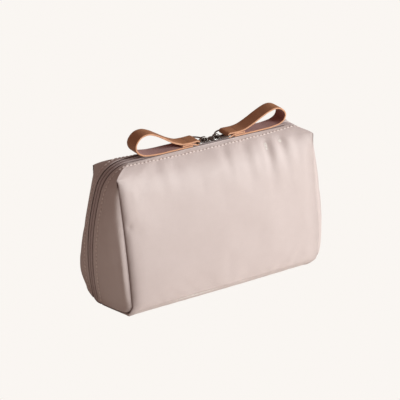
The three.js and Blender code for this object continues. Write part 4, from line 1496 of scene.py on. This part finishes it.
# --- putting it together -----------------------------------------------------------------
def use(obj, body, materials, nodes=(), subdivide=0):
    """Gives a piece its materials and its body, and hides the solids it stands for."""
    for material in materials:
        obj.data.materials.append(material)
    if subdivide:
        levels = obj.modifiers.new("smooth", "SUBSURF")
        levels.levels = subdivide
        levels.render_levels = subdivide
    if body is not None:
        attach(obj, body)
    if nodes:
        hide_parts(*nodes)
    return obj


def dress_half(which, back, seed, gathers, dents):
    """All the pieces of one half of the bag."""
    body = which + "_half"
    sign = 1 if back else -1
    points, crease = cover_points(seed, gathers, dents, which + "_trial", 2.2, back)
    cover = cover_mesh(which + "_cover", points, crease, back)
    use(cover, body, [SATIN], [which + "_shell"], subdivide=1)
    wadding = wadding_mesh(which + "_wadding", back)
    use(wadding, body, [FLEECE], [which + "_padding"])
    lining = lining_mesh(which + "_lining_cloth", back, seed + 7)
    use(lining, body, [LINING_SATIN], [which + "_lining"], subdivide=1)
    use(zip_tape(which + "_tape", back), body, [TAPE_WEAVE], [which + "_zip_tape"])
    use(zip_coil(which + "_coil", back), body, [NYLON], [which + "_zip_coil"])
    use(topstitching(which + "_topstitches", cover, sign), body, [PINK_THREAD], [which + "_topstitch"])
    use(seam_ladder(which + "_seam_stitches", back), body, [SEAM_THREAD_IN_PAINTED_SHADE])
    use(rim_binding(which + "_rim_binding", lining, back), body, [RIBBON], [which + "_seam_binding"],
        subdivide=1)


def dress_pull(which, side, loop, seed):
    """A slider, its ring and its leather loop."""
    use(slider_mesh(which + "_zip_slider", side), which + "_slider", [GUNMETAL], [which + "_slider"])
    use(ring_mesh(which + "_wire_ring", side), which + "_ring", [GUNMETAL], [which + "_pull_ring"])
    use(strap_mesh(which + "_leather_loop", side, loop, seed), which + "_strap", [GRAIN, FLESH, CUT_EDGE],
        [which + "_pull_strap"])
    use(neck_stitches(which + "_neck_stitches", side), which + "_strap", [TAN_THREAD],
        [which + "_strap_stitching"])
    use(end_stop_mesh(which + "_zip_end_clamp", side), "back_half", [NYLON], [which + "_end_stop"])


dress_half("front", False, 11, FRONT_GATHERS, FRONT_DENTS)
dress_half("back", True, 23, BACK_GATHERS, BACK_DENTS)
dress_pull("left", -1, LEFT_LOOP, 1.0)
dress_pull("right", 1, RIGHT_LOOP, 2.6)
fold = use(spine_fold("base_fold"), None, [RIBBON], ["base_seam_binding"])
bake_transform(fold)


# --- room, light and camera --------------------------------------------------------------
def floor_plane():
    """A plain pale floor. It lights the bag from below and stays out of the camera's sight,
    because the open half swings below the height of the base."""
    mesh = bpy.data.meshes.new("pale_floor")
    size = 3.0
    mesh.from_pydata([(-size, -size, -0.0004), (size, -size, -0.0004), (size, size, -0.0004), (-size, size, -0.0004)],
                     [], [(0, 1, 2, 3)])
    obj = bpy.data.objects.new("pale_floor", mesh)
    bpy.context.scene.collection.objects.link(obj)
    material, t, shader, where = finish_material("pale_floor_paint", 0.9)
    mottle = effect(t, MOTTLE, where["Object"])
    into(t, t.mix(mottle.outputs["Tone"], (0.84, 0.79, 0.72, 1), (0.87, 0.82, 0.75, 1)), shader, "Base Color")
    mesh.materials.append(material)
    obj.visible_camera = False
    obj.visible_shadow = False


def pale_room(camera_colour, ambient, strength):
    """The backdrop's colour as the camera sees it, and the soft light from all round."""
    world = bpy.data.worlds.new("pale_room")
    bpy.context.scene.world = world
    world.use_nodes = True
    tree = world.node_tree
    tree.nodes.clear()
    t = Tree(tree)
    seen = t.add("ShaderNodeBackground", {"Color": camera_colour, "Strength": 1.0}).outputs[0]
    around = t.add("ShaderNodeBackground", {"Color": ambient, "Strength": strength}).outputs[0]
    path = t.add("ShaderNodeLightPath").outputs["Is Camera Ray"]
    mixed = t.add("ShaderNodeMixShader", {0: path, 1: around, 2: seen}).outputs[0]
    tree.links.new(mixed, t.add("ShaderNodeOutputWorld").inputs[0])


def soft_light(name, place, aim, size, power, colour):
    data = bpy.data.lights.new(name, "AREA")
    data.shape = "DISK"
    data.size = size
    data.energy = power
    data.color = colour
    obj = bpy.data.objects.new(name, data)
    bpy.context.scene.collection.objects.link(obj)
    obj.location = place
    obj.rotation_euler = (Vector(aim) - Vector(place)).to_track_quat("-Z", "Y").to_euler()
    return obj


CAMERA_TURN = math.radians(32.56)
CAMERA_RISE = math.radians(24.03)
CAMERA_DISTANCE = 1.35075
CAMERA_LENS = 144.0
FRAME_CENTRE = (0.00459, 0.00835)


def main_camera():
    a, e = CAMERA_TURN, CAMERA_RISE
    back = Vector((-math.sin(a) * math.cos(e), -math.cos(a) * math.cos(e), math.sin(e)))
    right = Vector((math.cos(a), -math.sin(a), 0))
    up = Vector((math.sin(a) * math.sin(e), math.cos(a) * math.sin(e), math.cos(e)))
    aim = Vector((0, 0, 0.060)) - right * FRAME_CENTRE[0] + up * FRAME_CENTRE[1]
    data = bpy.data.cameras.new("front_left_camera")
    data.sensor_width = 36.0
    data.lens = CAMERA_LENS
    data.clip_start = 0.05
    data.clip_end = 30.0
    camera = bpy.data.objects.new("front_left_camera", data)
    bpy.context.scene.collection.objects.link(camera)
    camera.location = aim + back * CAMERA_DISTANCE
    camera.rotation_mode = "QUATERNION"
    camera.rotation_quaternion = (-back).to_track_quat("-Z", "Y")
    bpy.context.scene.camera = camera


floor_plane()
pale_room((0.956, 0.922, 0.887, 1.0), (1.0, 0.68, 0.58, 1.0), 0.192)
soft_light("key_light", (1.15, -1.3, 0.62), (0, 0, 0.06), 0.8, 34.8, (0.955, 0.99, 0.985))
soft_light("fill_light", (-1.3, -0.7, 0.8), (0, 0, 0.06), 1.2, 0.5, (1.0, 0.85, 0.78))
soft_light("top_light", (0.5, 0.2, 1.5), (0, 0, 0.08), 0.9, 1.0, (1.0, 0.97, 0.95))
soft_light("low_light", (0.9, -1.5, 0.04), (0, 0, 0.05), 0.5, 1.0, (1.0, 0.96, 0.94))
main_camera()
bpy.context.scene.view_settings.view_transform = "Standard"
